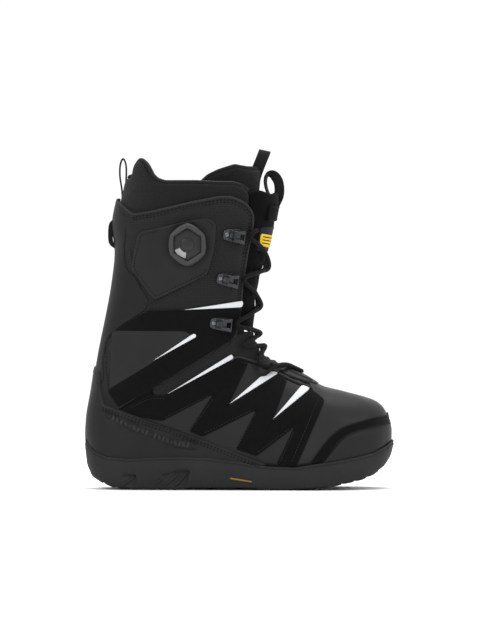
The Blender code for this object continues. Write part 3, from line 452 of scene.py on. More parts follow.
def fill(loop, step, edge):
    """Places and triangles that fill a loop of (s, phi), with rings near its rim."""
    loop = anticlockwise(evenly_on_boot(loop, min(2.4, step), closed=True))
    line = on_boot(loop, 0) / MM
    extra = []
    for share in (0.3, 0.65, 1.0, 1.9):
        ring = inset(loop, share * edge, closed=True)
        ring = ring[inside(ring * FLAT, loop * FLAT)]
        if len(ring):
            near = distances(on_boot(ring, 0) / MM, line)
            extra.append(ring[near > 0.86 * share * edge])
    low, high = (loop * FLAT).min(0), (loop * FLAT).max(0)
    u, v = np.meshgrid(np.arange(low[0], high[0], step), np.arange(low[1], high[1], step), indexing="ij")
    v = v + 0.5 * step * (np.arange(u.shape[0])[:, None] % 2)
    grid = np.stack([u.ravel(), v.ravel()], axis=1) / FLAT
    grid = grid[inside(grid * FLAT, loop * FLAT)]
    if len(grid):
        extra.append(grid[distances(on_boot(grid, 0) / MM, line) > 1.9 * edge + 0.45 * step])
    points = np.vstack([loop, *extra]) * FLAT
    verts, _, faces, *_ = delaunay_2d_cdt(
        [Vector(p) for p in points], [], [list(range(len(loop)))], 1, 1e-4
    )
    places = np.array([tuple(v) for v in verts]) / FLAT
    return places, faces, distances(on_boot(places, 0) / MM, line)


def free_rim(faces):
    used = {(a, b) for face in faces for a, b in zip(face, (*face[1:], face[0]))}
    return [(a, b) for a, b in used if (b, a) not in used]


def add_panel(pile, loop, low, high, edge=1.0, step=4.0, lip=0.35, lens=False, shape=None):
    """A closed piece inside a loop of (s, phi), from depth low to high, its rim rolled over edge mm.
    lip is the share of the height at the very rim, lens rolls the inner side too, and shape adds a
    height for each place and distance from the rim."""
    places, faces, near = fill(loop, step, edge)
    t = np.clip(near / edge, 0, 1)
    rise = lip + (1 - lip) * np.sqrt(1 - (1 - t) ** 2)
    if lens:
        middle, half = (low + high) / 2, (high - low) / 2
        outer, inner = middle + half * rise, middle - half * rise
    else:
        outer, inner = low + (high - low) * rise, np.full(len(near), float(low))
    if shape is not None:
        outer = outer + shape(places, near)
    top, under = on_boot(places, outer), on_boot(places, inner)
    add_sheet(pile, top, under, faces, flat_uv(places), np.clip(near / RIM_FADE, 0, 1))


def add_outward(pile, verts, faces, uv=None, edge=None):
    """Adds a closed body, turned to face out."""
    verts = np.asarray(verts, float)
    volume = 0.0
    for face in faces:
        a = verts[face[0]]
        for j, k in zip(face[1:-1], face[2:]):
            volume += np.dot(a, np.cross(verts[j], verts[k]))
    if volume < 0:
        faces = [tuple(face[::-1]) for face in faces]
    pile.add(verts, faces, uv, edge)


def add_sheet(pile, outside, under, faces, uv, edge=None):
    """Adds the body between two surfaces that share their faces, its rim closed by walls."""
    count = len(outside)
    flipped = [tuple(count + k for k in face[::-1]) for face in faces]
    walls = [(b, a, count + a, count + b) for a, b in free_rim(faces)]
    twice = None if edge is None else np.concatenate([edge, edge])
    add_outward(pile, np.vstack([outside, under]), [tuple(f) for f in faces] + flipped + walls,
                np.vstack([uv, uv]), twice)


def grid_faces(columns, rows):
    """Quads over a grid of points that are stored column by column."""
    corners = [(k * (rows + 1) + j, (k + 1) * (rows + 1) + j) for k in range(columns) for j in range(rows)]
    return [(a, a + 1, b + 1, b) for a, b in corners]


def prism_faces(count, rings=2):
    """Caps and walls of stacked rings that have count points each."""
    faces = [tuple(range(count)), tuple(range(rings * count - 1, (rings - 1) * count - 1, -1))]
    for r in range(rings - 1):
        faces += [(r * count + k, (r + 1) * count + k, (r + 1) * count + (k + 1) % count,
                   r * count + (k + 1) % count) for k in range(count)]
    return faces


def panel(name, loops, low, high, **options):
    pile = Pile()
    for loop in loops if isinstance(loops, list) else [loops]:
        add_panel(pile, loop, low, high, **options)
    return pile.object(name)


BAND_LIP, BAND_EDGE = 0.3, 1.2


def band(name, top, low, inner, outer, columns, rows):
    """A strip whose side-view edges run to the toe's tip, and on round to the other side."""
    top, low = (smooth_path(line, 6) for line in (top, low))
    top, low = (evenly(line, np.linalg.norm(np.diff(line, axis=0), axis=1).sum() / 200) for line in (top, low))
    shares = np.linspace(-1, 1, columns + 1)
    reach = np.sin((1 - np.abs(shares)) * math.pi / 2)
    across = np.linspace(0, 1, rows + 1)
    ends = [np.stack([np.interp(reach, np.linspace(0, 1, len(line)), line[:, k]) for k in (0, 1)], axis=1)
            for line in (top, low)]
    grid = ends[0][:, None] * (1 - across[None, :, None]) + ends[1][:, None] * across[None, :, None]
    places = locate(grid.reshape(-1, 2))
    places[:, 1] *= np.repeat(np.sign(shares), rows + 1)
    width = np.linalg.norm(ends[0] - ends[1], axis=1)
    near = np.minimum(across[None], 1 - across[None]) * width[:, None]
    t = np.clip(near / BAND_EDGE, 0, 1).ravel()
    depth = inner + (outer - inner) * (BAND_LIP + (1 - BAND_LIP) * np.sqrt(1 - (1 - t) ** 2))
    places[np.repeat(np.abs(shares) < 1e-6, rows + 1), 1] = 0
    outside, under = on_boot(places, depth), on_boot(places, inner)
    pile = Pile()
    uv = np.stack([np.repeat(reach, rows + 1) * 120, np.tile(across, columns + 1) * width.mean()], axis=1)
    add_sheet(pile, outside, under, grid_faces(columns, rows), uv, np.clip(near.ravel() / RIM_FADE, 0, 1))
    return pile.object(name)


def frames(path):
    """Unit tangents of a path, in its own units."""
    run = np.gradient(path, axis=0)
    return run / np.maximum(np.linalg.norm(run, axis=1), 1e-12)[:, None]


def add_capsules(pile, starts, ends, normals, radius):
    """Short rounded stitches from each start to each end, all in millimetres."""
    along = ends - starts
    length = np.linalg.norm(along, axis=1)[:, None]
    along = along / np.maximum(length, 1e-9)
    side = np.cross(normals, along)
    rings = ((0.0, 0.0), (0.12, 0.8), (0.35, 1.0), (0.65, 1.0), (0.88, 0.8), (1.0, 0.0))
    sides = 6
    blocks, faces, index = [], [], []
    for at, size in rings:
        turns = [0] if size == 0 else range(sides)
        index.append([])
        for k in turns:
            angle = 2 * math.pi * k / sides
            rise = size * math.cos(angle) * radius - STITCH_SUNK * radius * (abs(at - 0.5) * 2) ** 2
            index[-1].append(len(blocks))
            across = side * size * math.sin(angle) * radius
            blocks.append(starts + along * length * at + across + normals * rise)
    for low, high in zip(index, index[1:]):
        for k in range(sides):
            quad = [low[k % len(low)], low[(k + 1) % len(low)], high[(k + 1) % len(high)], high[k % len(high)]]
            faces.append(tuple(dict.fromkeys(quad)))
    per = len(blocks)
    cloud = np.stack(blocks, axis=1).reshape(-1, 3) * MM
    all_faces = [tuple(i + per * n for i in face) for n in range(len(starts)) for face in faces]
    pile.add(cloud, all_faces)


def stitch(name, rows, depth, body, length=2.5, gap=1.0, radius=0.42, finish="thread"):
    """Rows of stitches along lines of (s, phi), in one piece."""
    pile = Pile()
    for row in rows:
        beads = evenly_on_boot(row, length + gap, depth=depth)
        ends = np.vstack([beads[1:], beads[-1:]])
        stop = beads + (ends - beads) * length / (length + gap)
        by_s, by_phi = slopes(beads)
        normal = np.cross(by_s, by_phi)
        normal /= np.linalg.norm(normal, axis=1)[:, None]
        out = on_boot(beads, 5) - on_boot(beads, 0)
        normal *= np.sign((normal * out).sum(1))[:, None]
        add_capsules(pile, on_boot(beads, depth)[:-1] / MM, on_boot(stop, depth)[:-1] / MM, normal[:-1], radius)
    obj = pile.object(name, 180)
    paint(obj, finish)
    return finish_piece(obj, body, ())


def add_tube(pile, path, radius, sides=12, braid=0.0):
    """A round cord along points in metres."""
    path = np.asarray(path, float)
    tangent = frames(path)
    normal = np.cross(tangent[0], (0.3, 1, 0.2))
    normal /= np.linalg.norm(normal)
    spans = np.concatenate([[0], np.cumsum(np.linalg.norm(np.diff(path, axis=0), axis=1))]) / MM
    verts, uv = [], []
    for k, (point, run) in enumerate(zip(path, tangent)):
        normal = normal - run * np.dot(normal, run)
        normal /= np.linalg.norm(normal)
        other = np.cross(run, normal)
        angles = 2 * math.pi * np.arange(sides) / sides
        twist = spans[k] * 2 * math.pi / BRAID_PITCH
        weave = 1 + braid * np.cos(4 * angles + twist) * np.cos(4 * angles - twist)
        ring = np.cos(angles)[:, None] * normal + np.sin(angles)[:, None] * other
        verts.append(point + ring * (radius * MM * weave)[:, None])
        uv.append(np.stack([angles * radius, np.full(sides, spans[k])], axis=1))
    faces = []
    for k in range(len(path) - 1):
        for j in range(sides):
            a, b = k * sides, (k + 1) * sides
            faces.append((a + j, a + (j + 1) % sides, b + (j + 1) % sides, b + j))
    last = (len(path) - 1) * sides
    faces += [tuple(range(sides))[::-1], tuple(range(last, last + sides))]
    add_outward(pile, np.vstack(verts), faces, np.vstack(uv))


def tube_piece(name, lines, radius, sides, finish, body):
    """Round cords along lines of points in metres, as one piece."""
    pile = Pile()
    for line in lines:
        add_tube(pile, line, radius, sides)
    return place(pile.object(name), finish, body)


def add_ribbon(pile, path, across, width, thickness, corner=0.5):
    """A strap of rounded section along points in millimetres, its width along across."""
    path = np.asarray(path, float)
    tangent = frames(path)
    across = np.asarray(across, float)
    across = np.broadcast_to(across / np.linalg.norm(across, axis=-1, keepdims=True), path.shape)
    normal = np.cross(tangent, across)
    normal /= np.linalg.norm(normal, axis=1)[:, None]
    w, h = width / 2, thickness / 2
    c = min(corner, h * 0.9)
    outline = [(w, h - c), (w - c * 0.3, h - c * 0.3), (w - c, h)]
    outline += [(w * k / 3, h) for k in (1.5, 0, -1.5)]
    outline += [(-(w - c), h), (-(w - c * 0.3), h - c * 0.3), (-w, h - c)]
    outline += [(-a, -b) for a, b in outline]
    spans = np.concatenate([[0], np.cumsum(np.linalg.norm(np.diff(path, axis=0), axis=1))])
    verts, uv, faces, sides = [], [], [], len(outline)
    for k in range(len(path)):
        for a, b in outline:
            verts.append(path[k] + across[k] * a + normal[k] * b)
            uv.append((a, spans[k]))
    for k in range(len(path) - 1):
        for j in range(sides):
            a, b = k * sides, (k + 1) * sides
            faces.append((a + j, a + (j + 1) % sides, b + (j + 1) % sides, b + j))
    last = (len(path) - 1) * sides
    faces += [tuple(range(sides))[::-1], tuple(range(last, last + sides))]
    add_outward(pile, np.array(verts) * MM, faces, uv)


# ---------------------------------------------------------------- finishes


class Finish:
    """One Principled material, and short calls that add nodes to it. Lengths are in millimetres."""

    def __init__(self, name):
        self.material = bpy.data.materials.new(name)
        self.material.use_nodes = True
        self.tree = self.material.node_tree
        self.shader = self.tree.nodes["Principled BSDF"]
        coordinates = self.add("ShaderNodeTexCoord").outputs["Object"]
        self.here = self.add("ShaderNodeMapping", Vector=coordinates, Scale=(1000, 1000, 1000)).outputs[0]
        self.bumps = None

    def add(self, kind, options=None, **inputs):
        node = self.tree.nodes.new(kind)
        for key, value in (options or {}).items():
            setattr(node, key, value)
        for key, value in inputs.items():
            self.put(node.inputs[key.replace("_", " ")], value)
        return node

    def put(self, socket, value):
        if isinstance(value, bpy.types.NodeSocket):
            self.tree.links.new(value, socket)
        else:
            socket.default_value = value

    def set(self, **inputs):
        for key, value in inputs.items():
            self.put(self.shader.inputs[key.replace("_", " ")], value)

    def math(self, operation, a, b=0.0):
        node = self.add("ShaderNodeMath", {"operation": operation})
        self.put(node.inputs[0], a)
        self.put(node.inputs[1], b)
        return node.outputs[0]

    def noise(self, size, detail=3, rough=0.55):
        return self.add("ShaderNodeTexNoise", Scale=1 / size, Detail=detail, Roughness=rough,
                        Vector=self.here).outputs[0]

    def cells(self, size, feature="F1"):
        return self.add("ShaderNodeTexVoronoi", {"feature": feature}, Scale=1 / size,
                        Vector=self.here).outputs[0]

    def between(self, value, low, high, from_low=0.0, from_high=1.0):
        node = self.add("ShaderNodeMapRange", Value=value)
        for key, number in (("From Min", from_low), ("From Max", from_high), ("To Min", low), ("To Max", high)):
            node.inputs[key].default_value = number
        return node.outputs[0]

    def mix(self, a, b, share):
        node = self.add("ShaderNodeMix", {"data_type": "RGBA"})
        self.put(node.inputs[0], share)
        for socket, colour in ((node.inputs[6], a), (node.inputs[7], b)):
            self.put(socket, colour if isinstance(colour, bpy.types.NodeSocket) else (*colour, 1))
        return node.outputs[2]

    def flat(self):
        """Across and along coordinates in millimetres."""
        uv = self.add("ShaderNodeUVMap", {"uv_map": "flat"}).outputs[0]
        parts = self.add("ShaderNodeSeparateXYZ", Vector=uv)
        return parts.outputs[0], parts.outputs[1]

    def wave(self, value, period):
        """A sine of a length, from 0 to 1."""
        angle = self.math("MULTIPLY_ADD", value, 2 * math.pi / period)
        angle.node.inputs[2].default_value = 0.0
        return self.between(self.math("SINE", angle), 0, 1, -1, 1)

    def rim(self):
        return self.add("ShaderNodeAttribute", {"attribute_name": "rim"}).outputs["Fac"]

    def bump(self, height, depth):
        """Adds relief of that depth."""
        options = {"Normal": self.bumps} if self.bumps is not None else {}
        node = self.add("ShaderNodeBump", None, Height=height, Distance=depth * MM, **options)
        self.bumps = node.outputs[0]
        self.put(self.shader.inputs["Normal"], self.bumps)


def scaled(colour, factor):
    return tuple(min(1, c * factor) for c in colour)


def leather(name, colour, grain=1.1, gloss=(0.4, 0.55), depth=0.05):
    f = Finish(name)
    broad, fine = f.noise(38, 4), f.noise(0.7, 5)
    worn = f.math("SUBTRACT", 1.0, f.rim())
    tone = f.mix(scaled(colour, 0.78), scaled(colour, 1.25), broad)
    tone = f.mix(tone, scaled(colour, 1.5), f.math("MULTIPLY", f.math("MULTIPLY", worn, worn), 0.35))
    f.set(Base_Color=tone, Roughness=f.between(f.noise(9, 4), *gloss), Specular_IOR_Level=0.11)
    f.bump(f.cells(grain, "SMOOTH_F1"), depth)
    f.bump(fine, 0.035)
    f.bump(f.noise(14, 3), 0.22)
    return f.material


def suede(name, colour):
    f = Finish(name)
    nap = f.noise(5.5, 6, 0.7)
    fibre = f.noise(0.45, 4, 0.7)
    tone = f.mix(scaled(colour, 0.55), scaled(colour, 1.6), nap)
    tone = f.mix(tone, scaled(colour, 2.6), f.between(fibre, 0, 0.5, 0.55, 0.8))
    f.set(Base_Color=tone, Roughness=0.97, Specular_IOR_Level=0.06, Sheen_Weight=0.1, Sheen_Roughness=0.5,
          Sheen_Tint=(0.5, 0.5, 0.52, 1))
    f.bump(fibre, 0.12)
    f.bump(nap, 0.1)
    return f.material


def film(name, colour):
    f = Finish(name)
    soil = f.noise(16, 5)
    f.set(Base_Color=f.mix(scaled(colour, 0.88), scaled(colour, 1.06), soil),
          Roughness=f.between(f.noise(6, 4), 0.36, 0.5))
    f.bump(f.noise(0.9, 4), 0.03)
    f.bump(f.noise(7, 2), 0.08)
    return f.material


def woven(name, colour, pitch=1.3, depth=0.14, gloss=0.14):
    """Plain weave: threads pass over and under each other by turns."""
    f = Finish(name)
    u, v = f.flat()
    across, along = f.wave(u, pitch), f.wave(v, pitch)
    over = f.wave(f.math("ADD", u, v), 2 * pitch)
    under = f.math("SUBTRACT", 1.0, over)
    height = f.math("ADD", f.math("MULTIPLY", across, over), f.math("MULTIPLY", along, under))
    # Threads on top are painted lighter and the hollows between them darker: painted highlight and painted shade.
    tone = f.mix(scaled(colour, 0.45), scaled(colour, 1.35), height)
    tone = f.mix(tone, scaled(colour, 0.7), f.between(f.noise(22, 4), 0, 0.6))
    f.set(Base_Color=tone, Roughness=0.85, Specular_IOR_Level=gloss, Sheen_Weight=0.35 * gloss)
    f.bump(height, depth)
    f.bump(f.noise(0.3, 3), 0.04)
    return f.material


def knitted(name, colour):
    """Diagonal air mesh."""
    f = Finish(name)
    u, v = f.flat()
    one = f.wave(f.math("ADD", u, v), MESH_PITCH)
    two = f.wave(f.math("SUBTRACT", u, v), MESH_PITCH)
    height = f.math("MAXIMUM", one, two)
    pores = f.between(height, 0, 1, 0.45, 0.75)
    # The mesh's low parts are painted dark and its raised yarn light: painted shade in the holes and a painted
    # highlight on the yarn.
    tone = f.mix(scaled(colour, 0.2), scaled(colour, 1.8), pores)
    tone = f.mix(tone, scaled(colour, 0.6), f.between(f.noise(30, 4), 0, 0.6))
    f.set(Base_Color=tone, Roughness=0.95, Specular_IOR_Level=0.1, Sheen_Weight=0.06)
    f.bump(pores, 0.3)
    f.bump(f.noise(0.35, 3), 0.05)
    return f.material


def ribbed(name, colour, pitch=1.15, depth=0.16):
    """Webbing: ribs run across the strap, with a fine twill between them."""
    f = Finish(name)
    u, v = f.flat()
    rib = f.wave(v, pitch)
    twill = f.wave(f.math("ADD", u, f.math("MULTIPLY", v, 0.5)), pitch * 0.8)
    height = f.math("ADD", f.math("MULTIPLY", rib, 0.65), f.math("MULTIPLY", twill, 0.35))
    # Raised ribs are painted lighter and the hollows darker: painted highlight and painted shade.
    tone = f.mix(scaled(colour, 0.45), scaled(colour, 1.5), height)
    f.set(Base_Color=tone, Roughness=0.85, Specular_IOR_Level=0.12, Sheen_Weight=0.05)
    f.bump(height, depth)
    f.bump(f.noise(0.3, 3), 0.04)
    return f.material


def rubber(name, colour, gloss=(0.5, 0.68), grain=0.9, depth=0.035):
    f = Finish(name)
    dust = f.noise(26, 5)
    tone = f.mix(scaled(colour, 0.8), scaled(colour, 1.25), dust)
    worn = f.math("SUBTRACT", 1.0, f.rim())
    tone = f.mix(tone, scaled(colour, 1.6), f.math("MULTIPLY", worn, 0.25))
    f.set(Base_Color=tone, Roughness=f.between(f.noise(11, 4), *gloss), Specular_IOR_Level=0.12)
    f.bump(f.noise(grain, 3), depth)
    f.bump(f.noise(17, 2), 0.18)
    return f.material


def plastic(name, colour, gloss=(0.3, 0.42)):
    f = Finish(name)
    f.set(Base_Color=f.mix(scaled(colour, 0.85), scaled(colour, 1.15), f.noise(12, 4)),
          Roughness=f.between(f.noise(5, 4), *gloss), Specular_IOR_Level=0.25)
    f.bump(f.noise(0.5, 3), 0.02)
    return f.material


def metal(name, colour, gloss=(0.3, 0.45)):
    f = Finish(name)
    scuffs = f.noise(3, 6, 0.7)
    f.set(Base_Color=f.mix(scaled(colour, 0.6), scaled(colour, 1.25), scuffs), Metallic=1.0,
          Roughness=f.between(f.noise(2, 5), *gloss))
    f.bump(f.noise(0.35, 4), 0.02)
    return f.material


def braided(name, colour):
    f = Finish(name)
    u, v = f.flat()
    one = f.wave(f.math("ADD", f.math("MULTIPLY", u, 2.0), v), 2.6)
    two = f.wave(f.math("SUBTRACT", f.math("MULTIPLY", u, 2.0), v), 2.6)
    height = f.math("MAXIMUM", one, two)
    # Braid crests are painted lighter and the grooves darker: painted highlight and painted shade.
    tone = f.mix(scaled(colour, 0.3), scaled(colour, 2.4), height)
    f.set(Base_Color=tone, Roughness=0.8, Specular_IOR_Level=0.1, Sheen_Weight=0.02)
    f.bump(height, 0.22)
    return f.material


def foam(name, colour):
    f = Finish(name)
    f.set(Base_Color=f.mix(scaled(colour, 0.8), scaled(colour, 1.1), f.noise(8, 4)), Roughness=0.95)
    f.bump(f.cells(0.8), 0.1)
    return f.material


MAKERS = {
    "leather": lambda: leather("leather", (0.0125, 0.0127, 0.0132)),
    # A darker copy of the leather for the backstay: its darkness is painted shade.
    "back_leather_painted_shade": lambda: leather("back_leather_painted_shade", (0.0082, 0.0084, 0.0088), gloss=(0.46, 0.6)),
    "toe_leather": lambda: leather("toe_leather", (0.0150, 0.0152, 0.0157), gloss=(0.36, 0.48), depth=0.04),
    "pod_leather": lambda: leather("pod_leather", (0.0115, 0.0117, 0.0122), 0.8, (0.38, 0.5), 0.03),
    "suede": lambda: suede("suede", (0.0028, 0.0028, 0.0031)),
    "spike": lambda: film("spike", (0.52, 0.53, 0.545)),
    "cuff_fabric": lambda: woven("cuff_fabric", (0.0112, 0.0114, 0.0118), 2.2, 0.3),
    "tongue_fabric": lambda: woven("tongue_fabric", (0.0024, 0.0024, 0.0027), 1.2, gloss=0.05),
    "gusset_fabric": lambda: woven("gusset_fabric", (0.0145, 0.0145, 0.0151), 1.0),
    "liner_mesh": lambda: knitted("liner_mesh", (0.0078, 0.0078, 0.0084)),
    "lining": lambda: woven("lining", (0.006, 0.006, 0.0065), 0.9),
    # The piping finish is the leather made lighter: its colour is a painted highlight along the rolled piping,
    # and the suede stitches share it.
    "piping_painted_highlight": lambda: leather("piping_painted_highlight", (0.017, 0.0172, 0.0178), 0.6, (0.4, 0.5), 0.02),
    "dark_piping": lambda: leather("dark_piping", (0.006, 0.006, 0.0064), 0.6, (0.4, 0.5), 0.02),
    "webbing": lambda: ribbed("webbing", (0.0075, 0.0075, 0.008)),
    "lace": lambda: braided("lace", (0.0026, 0.0026, 0.0028)),
    "thread": lambda: ribbed("thread", (0.002, 0.002, 0.0022), 0.5, 0.05),
    # Counter relief: the bars are painted lighter (painted highlight) and the channel under them darker (painted
    # shade).
    "relief_rubber_painted_highlight": lambda: rubber("relief_rubber_painted_highlight", (0.019, 0.0193, 0.02)),
    "channel_rubber_painted_shade": lambda: rubber("channel_rubber_painted_shade", (0.0075, 0.0075, 0.0079)),
    "sole_rubber": lambda: rubber("sole_rubber", (0.0152, 0.0154, 0.016)),
    "tread_rubber": lambda: rubber("tread_rubber", (0.011, 0.011, 0.0115), (0.6, 0.75)),
    "upper_rubber": lambda: rubber("upper_rubber", (0.0098, 0.01, 0.0104), (0.42, 0.56)),
    "dial_rubber": lambda: rubber("dial_rubber", (0.034, 0.0345, 0.0355), (0.3, 0.42), 0.5, 0.02),
    "moulded_plastic": lambda: plastic("moulded_plastic", (0.011, 0.011, 0.0116)),
    "dial_cap": lambda: plastic("dial_cap", (0.014, 0.014, 0.0148), (0.24, 0.34)),
    # A pale plate on the reel's cap that stands in for a highlight: a painted highlight.
    "dial_painted_highlight": lambda: plastic("dial_painted_highlight", (0.26, 0.265, 0.27), (0.18, 0.28)),
    "hook_metal": lambda: metal("hook_metal", (0.045, 0.046, 0.049), (0.24, 0.38)),
    "rivet_metal": lambda: metal("rivet_metal", (0.13, 0.131, 0.137), (0.2, 0.3)),
    "cable_steel": lambda: metal("cable_steel", (0.5, 0.5, 0.5)),
    "gold_ink": lambda: metal("gold_ink", (0.22, 0.145, 0.035), (0.35, 0.5)),
    "label_yellow": lambda: woven("label_yellow", (0.72, 0.48, 0.02), 0.6, 0.05),
    "label_blue": lambda: woven("label_blue", (0.006, 0.0075, 0.02), 0.7, 0.06),
    "footbed_foam": lambda: foam("footbed_foam", (0.05, 0.05, 0.055)),
}
_made = {}


def finish_named(name):
    if name not in _made:
        _made[name] = MAKERS[name]()
    return _made[name]


def paint(obj, name):
    obj.data.materials.clear()
    obj.data.materials.append(finish_named(name))
    return obj


def finish_piece(obj, body, nodes):
    """Hangs the piece on a body, or bakes its place into its mesh when body is a pair, and lets it stand for its
    CAD nodes.
    """
    if isinstance(body, str):
        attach(obj, body)
    else:
        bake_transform(obj)
    if nodes:
        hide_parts(*([nodes] if isinstance(nodes, str) else nodes))
    return obj


def place(obj, finish, body, nodes=()):
    return finish_piece(paint(obj, finish), body, nodes)


# ---------------------------------------------------------------- sole

SOLE_ENDS = (-149.5, 150.4)
LUG_RISE = 4.0


def height_on(line, x):
    table = np.array([p[:2] for p in line], float)
    return np.interp(x, table[:, 0], table[:, 1])


def sole_stations(count):
    start, end = SOLE_ENDS
    return (start + end) / 2 - (end - start) / 2 * np.cos(np.pi * np.arange(count + 1) / count)


def sole_edge(x, depth, side):
    """Points in millimetres along the sole's top line at a depth on one side."""
    places = locate(np.stack([x, height_on(SOLE_TOP, x)], axis=1)) * (1, side)
    return on_boot(places, depth) / MM


def sole_ring(x, depth, height):
    """A closed ring of the sole at a depth: medial side to the toe, then the lateral side back."""
    loops = []
    for side in (MEDIAL, LATERAL):
        edge = sole_edge(x, depth, side)
        edge[:, 2] = height(edge[:, 0])
        loops.append(edge)
    return np.vstack([loops[0], loops[1][::-1]])


def add_outsole():
    """Cup sole with a rolled lip, a groove under it, side recesses and a tread of separate lugs."""
    x = sole_stations(130)

    def bottom(at):
        return height_on(SOLE_BOTTOM, at)

    def share(part, add=0.0):
        return lambda at: bottom(at) + part * (height_on(SOLE_TOP, at) - bottom(at)) + add

    profile = (
        (-7, share(0, LUG_RISE)), (-5, share(0, LUG_RISE)), (-4, share(0, 1.5)), (-1, share(0, 0.9)),
        (1.2, share(0, 1.5)), (2.6, share(0, 3.4)), (3.6, share(0.42)), (4.3, share(0.58)), (4.6, share(0.72)),
        (4.6, share(1, -4.6)), (4.5, share(1, -3.4)), (4.0, share(1, -3.0)), (3.9, share(1, -2.6)),
        (4.4, share(1, -2.2)), (4.6, share(1, -1.2)), (4.3, share(1, -0.3)), (3.6, share(1, 0.1)),
        (2.6, share(1, 0)), (0.4, share(1, -0.6)), (0.3, share(0.5)), (-7, share(0.45)),
    )
    rings = [sole_ring(x, depth, height) for depth, height in profile]
    around = len(rings[0])
    faces = []
    for r in range(len(rings) - 1):
        for k in range(around):
            a, b = r * around, (r + 1) * around
            faces.append((a + k, a + (k + 1) % around, b + (k + 1) % around, b + k))
    half = around // 2
    for r in (0, len(rings) - 1):
        at = r * around
        faces += [(at + k, at + k + 1, at + around - 2 - k, at + around - 1 - k) for k in range(half - 1)]
    pile = Pile()
    add_outward(pile, np.vstack(rings) * MM, faces)
    sole = pile.object("sole", 40)
    for side in (LATERAL, MEDIAL):
        for outline in (
            ((-127.5, 8), (-112.6, 15, 3), (-101.8, 15, 2), (-101.8, 4)),
            ((-95, 4.6), (-65, 19.5, 4), (-48, 19.8, 3), (-52, 4.4)),
        ):
            cut_recess(sole, outline, side)
    place(sole, "sole_rubber", "lower", "outsole")
    add_recess_ribs()
    add_lugs(bottom)


def cut_recess(sole, outline, side):
    """A hollow in the side wall, its floor set back by 1.8 mm."""
    line = rounded(outline)
    edge = abs(sole_edge(np.array([line[:, 0].mean()]), 4.6, side)[0, 1])
    pile = Pile()
    verts = [(x, side * (edge + reach), z) for reach in (-1.8, 20) for x, z in line]
    add_outward(pile, np.array(verts) * MM, prism_faces(len(line)))
    cutter = pile.object("recess_cutter")
    modifier = sole.modifiers.new("recess", "BOOLEAN")
    modifier.operation, modifier.object = "DIFFERENCE", cutter
    bpy.context.view_layer.update()
    mesh = bpy.data.meshes.new_from_object(sole.evaluated_get(bpy.context.evaluated_depsgraph_get()))
    sole.modifiers.clear()
    sole.data = mesh
    bpy.data.objects.remove(cutter)


RECESS_RIBS = ((-117, -104, 5, 13), (-84, -70, 6.5, 16.5), (-74, -60, 5.5, 16.8), (-64, -53, 5, 16))


def add_recess_ribs():
    """Slanted ribs in the side recesses."""
    for word, side in SIDES.items():
        ribs = []
        for x0, x1, z0, z1 in RECESS_RIBS:
            edge = abs(sole_edge(np.array([(x0 + x1) / 2]), 4.6, side)[0, 1])
            line = [(x0 + (x1 - x0) * t, side * (edge - 1.3), z0 + (z1 - z0) * t**1.3)
                    for t in np.linspace(0, 1, 8)]
            ribs.append(np.array(line) * MM)
        tube_piece(f"sole_ribs_{word}", ribs, 1.1, 8, "sole_rubber", "lower")


def add_block(pile, corners, low, high):
    """A lug with a chamfered underside; corners are (x, y) and low and high give heights over x."""
    corners = np.array(corners, float)
    middle = corners.mean(0)
    rings = []
    for share, height in ((0.84, 0.0), (0.93, 0.5), (0.97, 1.2), (1.0, None)):
        ring = middle + (corners - middle) * share
        z = high(ring[:, 0]) if height is None else low(ring[:, 0]) + height
        rings.append(np.column_stack([ring, z]))
    count = len(corners)
    faces = [tuple(range(count))[::-1], tuple(range(3 * count, 4 * count))]
    for r in range(3):
        for k in range(count):
            a, b = r * count, (r + 1) * count
            faces.append((a + k, a + (k + 1) % count, b + (k + 1) % count, b + k))
    add_outward(pile, np.vstack(rings) * MM, faces)


def add_lugs(bottom):
    """Tread: edge lugs on both sides and chevrons between them, with a flat pad under the arch."""
    def top(at):
        return bottom(at) + LUG_RISE + 1.5

    pile = Pile()
    rows = [(x, x + 10.2) for x in np.arange(-145, -64, 13.2)]
    rows += [(x, x + 9.6) for x in np.arange(18, 138, 12.4)]
    for start, end in rows:
        for side in (LATERAL, MEDIAL):
            xs = np.array([start, (start + end) / 2, end])
            outer = sole_edge(xs, -0.4, side)[:, 1]
            keep = np.abs(outer) > 9
            if not keep.all():
                continue
            inner = outer * 0.56
            slant = 3.0
            corners = [(xs[0], outer[0]), (xs[1], outer[1]), (xs[2], outer[2]), (xs[2] - slant, inner[2]),
                       (xs[0] - slant, inner[0])]
            add_block(pile, corners, bottom, top)
            peak = outer[1] * 0.48
            corners = [(start - 4, peak), (end - 4, peak), (end + 2, side * 0.8), (start + 2, side * 0.8)]
            add_block(pile, corners, bottom, top)
    for start, end in ((-50, -29), (-26, -2), (1, 13)):
        for side in (LATERAL, MEDIAL):
            xs = np.linspace(start, end, 4)
            outer = sole_edge(xs, -0.8, side)[:, 1]
            corners = list(zip(xs, outer)) + [(end, side * 19), (start, side * 19)]
            add_block(pile, corners, bottom, top)
    add_block(pile, ((-26, -15), (26, -15), (26, 15), (-26, 15)), lambda at: at * 0, top)
    place(pile.object("sole_tread", 30), "tread_rubber", "lower")


def add_badge():
    """Slim plate set in the side wall under the arch."""
    pile = Pile()
    line = rounded(((-9, 12.9, 1), (12.6, 9.4, 2), (13.2, 8, 1), (-8.6, 11.2, 1)), 1)
    edge = sole_edge(line[:, 0], 4.2, LATERAL)[:, 1]
    verts = [(x, y - reach, z) for reach in (-1.2, 0.35) for (x, z), y in zip(line, edge)]
    add_outward(pile, np.array(verts) * MM, prism_faces(len(line)))
    place(pile.object("side_badge"), "gold_ink", "lower", "sole_badge")


# ---------------------------------------------------------------- lower part

UNDER_SOLE_LINE = ((27, 18), (0, 22), (-51, 26), (-109, 25), (-140, 32), (-156, 44))
ANKLE_BEND = ("lower", "cuff", (-0.0375, 0, 0.1062), (-0.0515, 0, 0.1318))


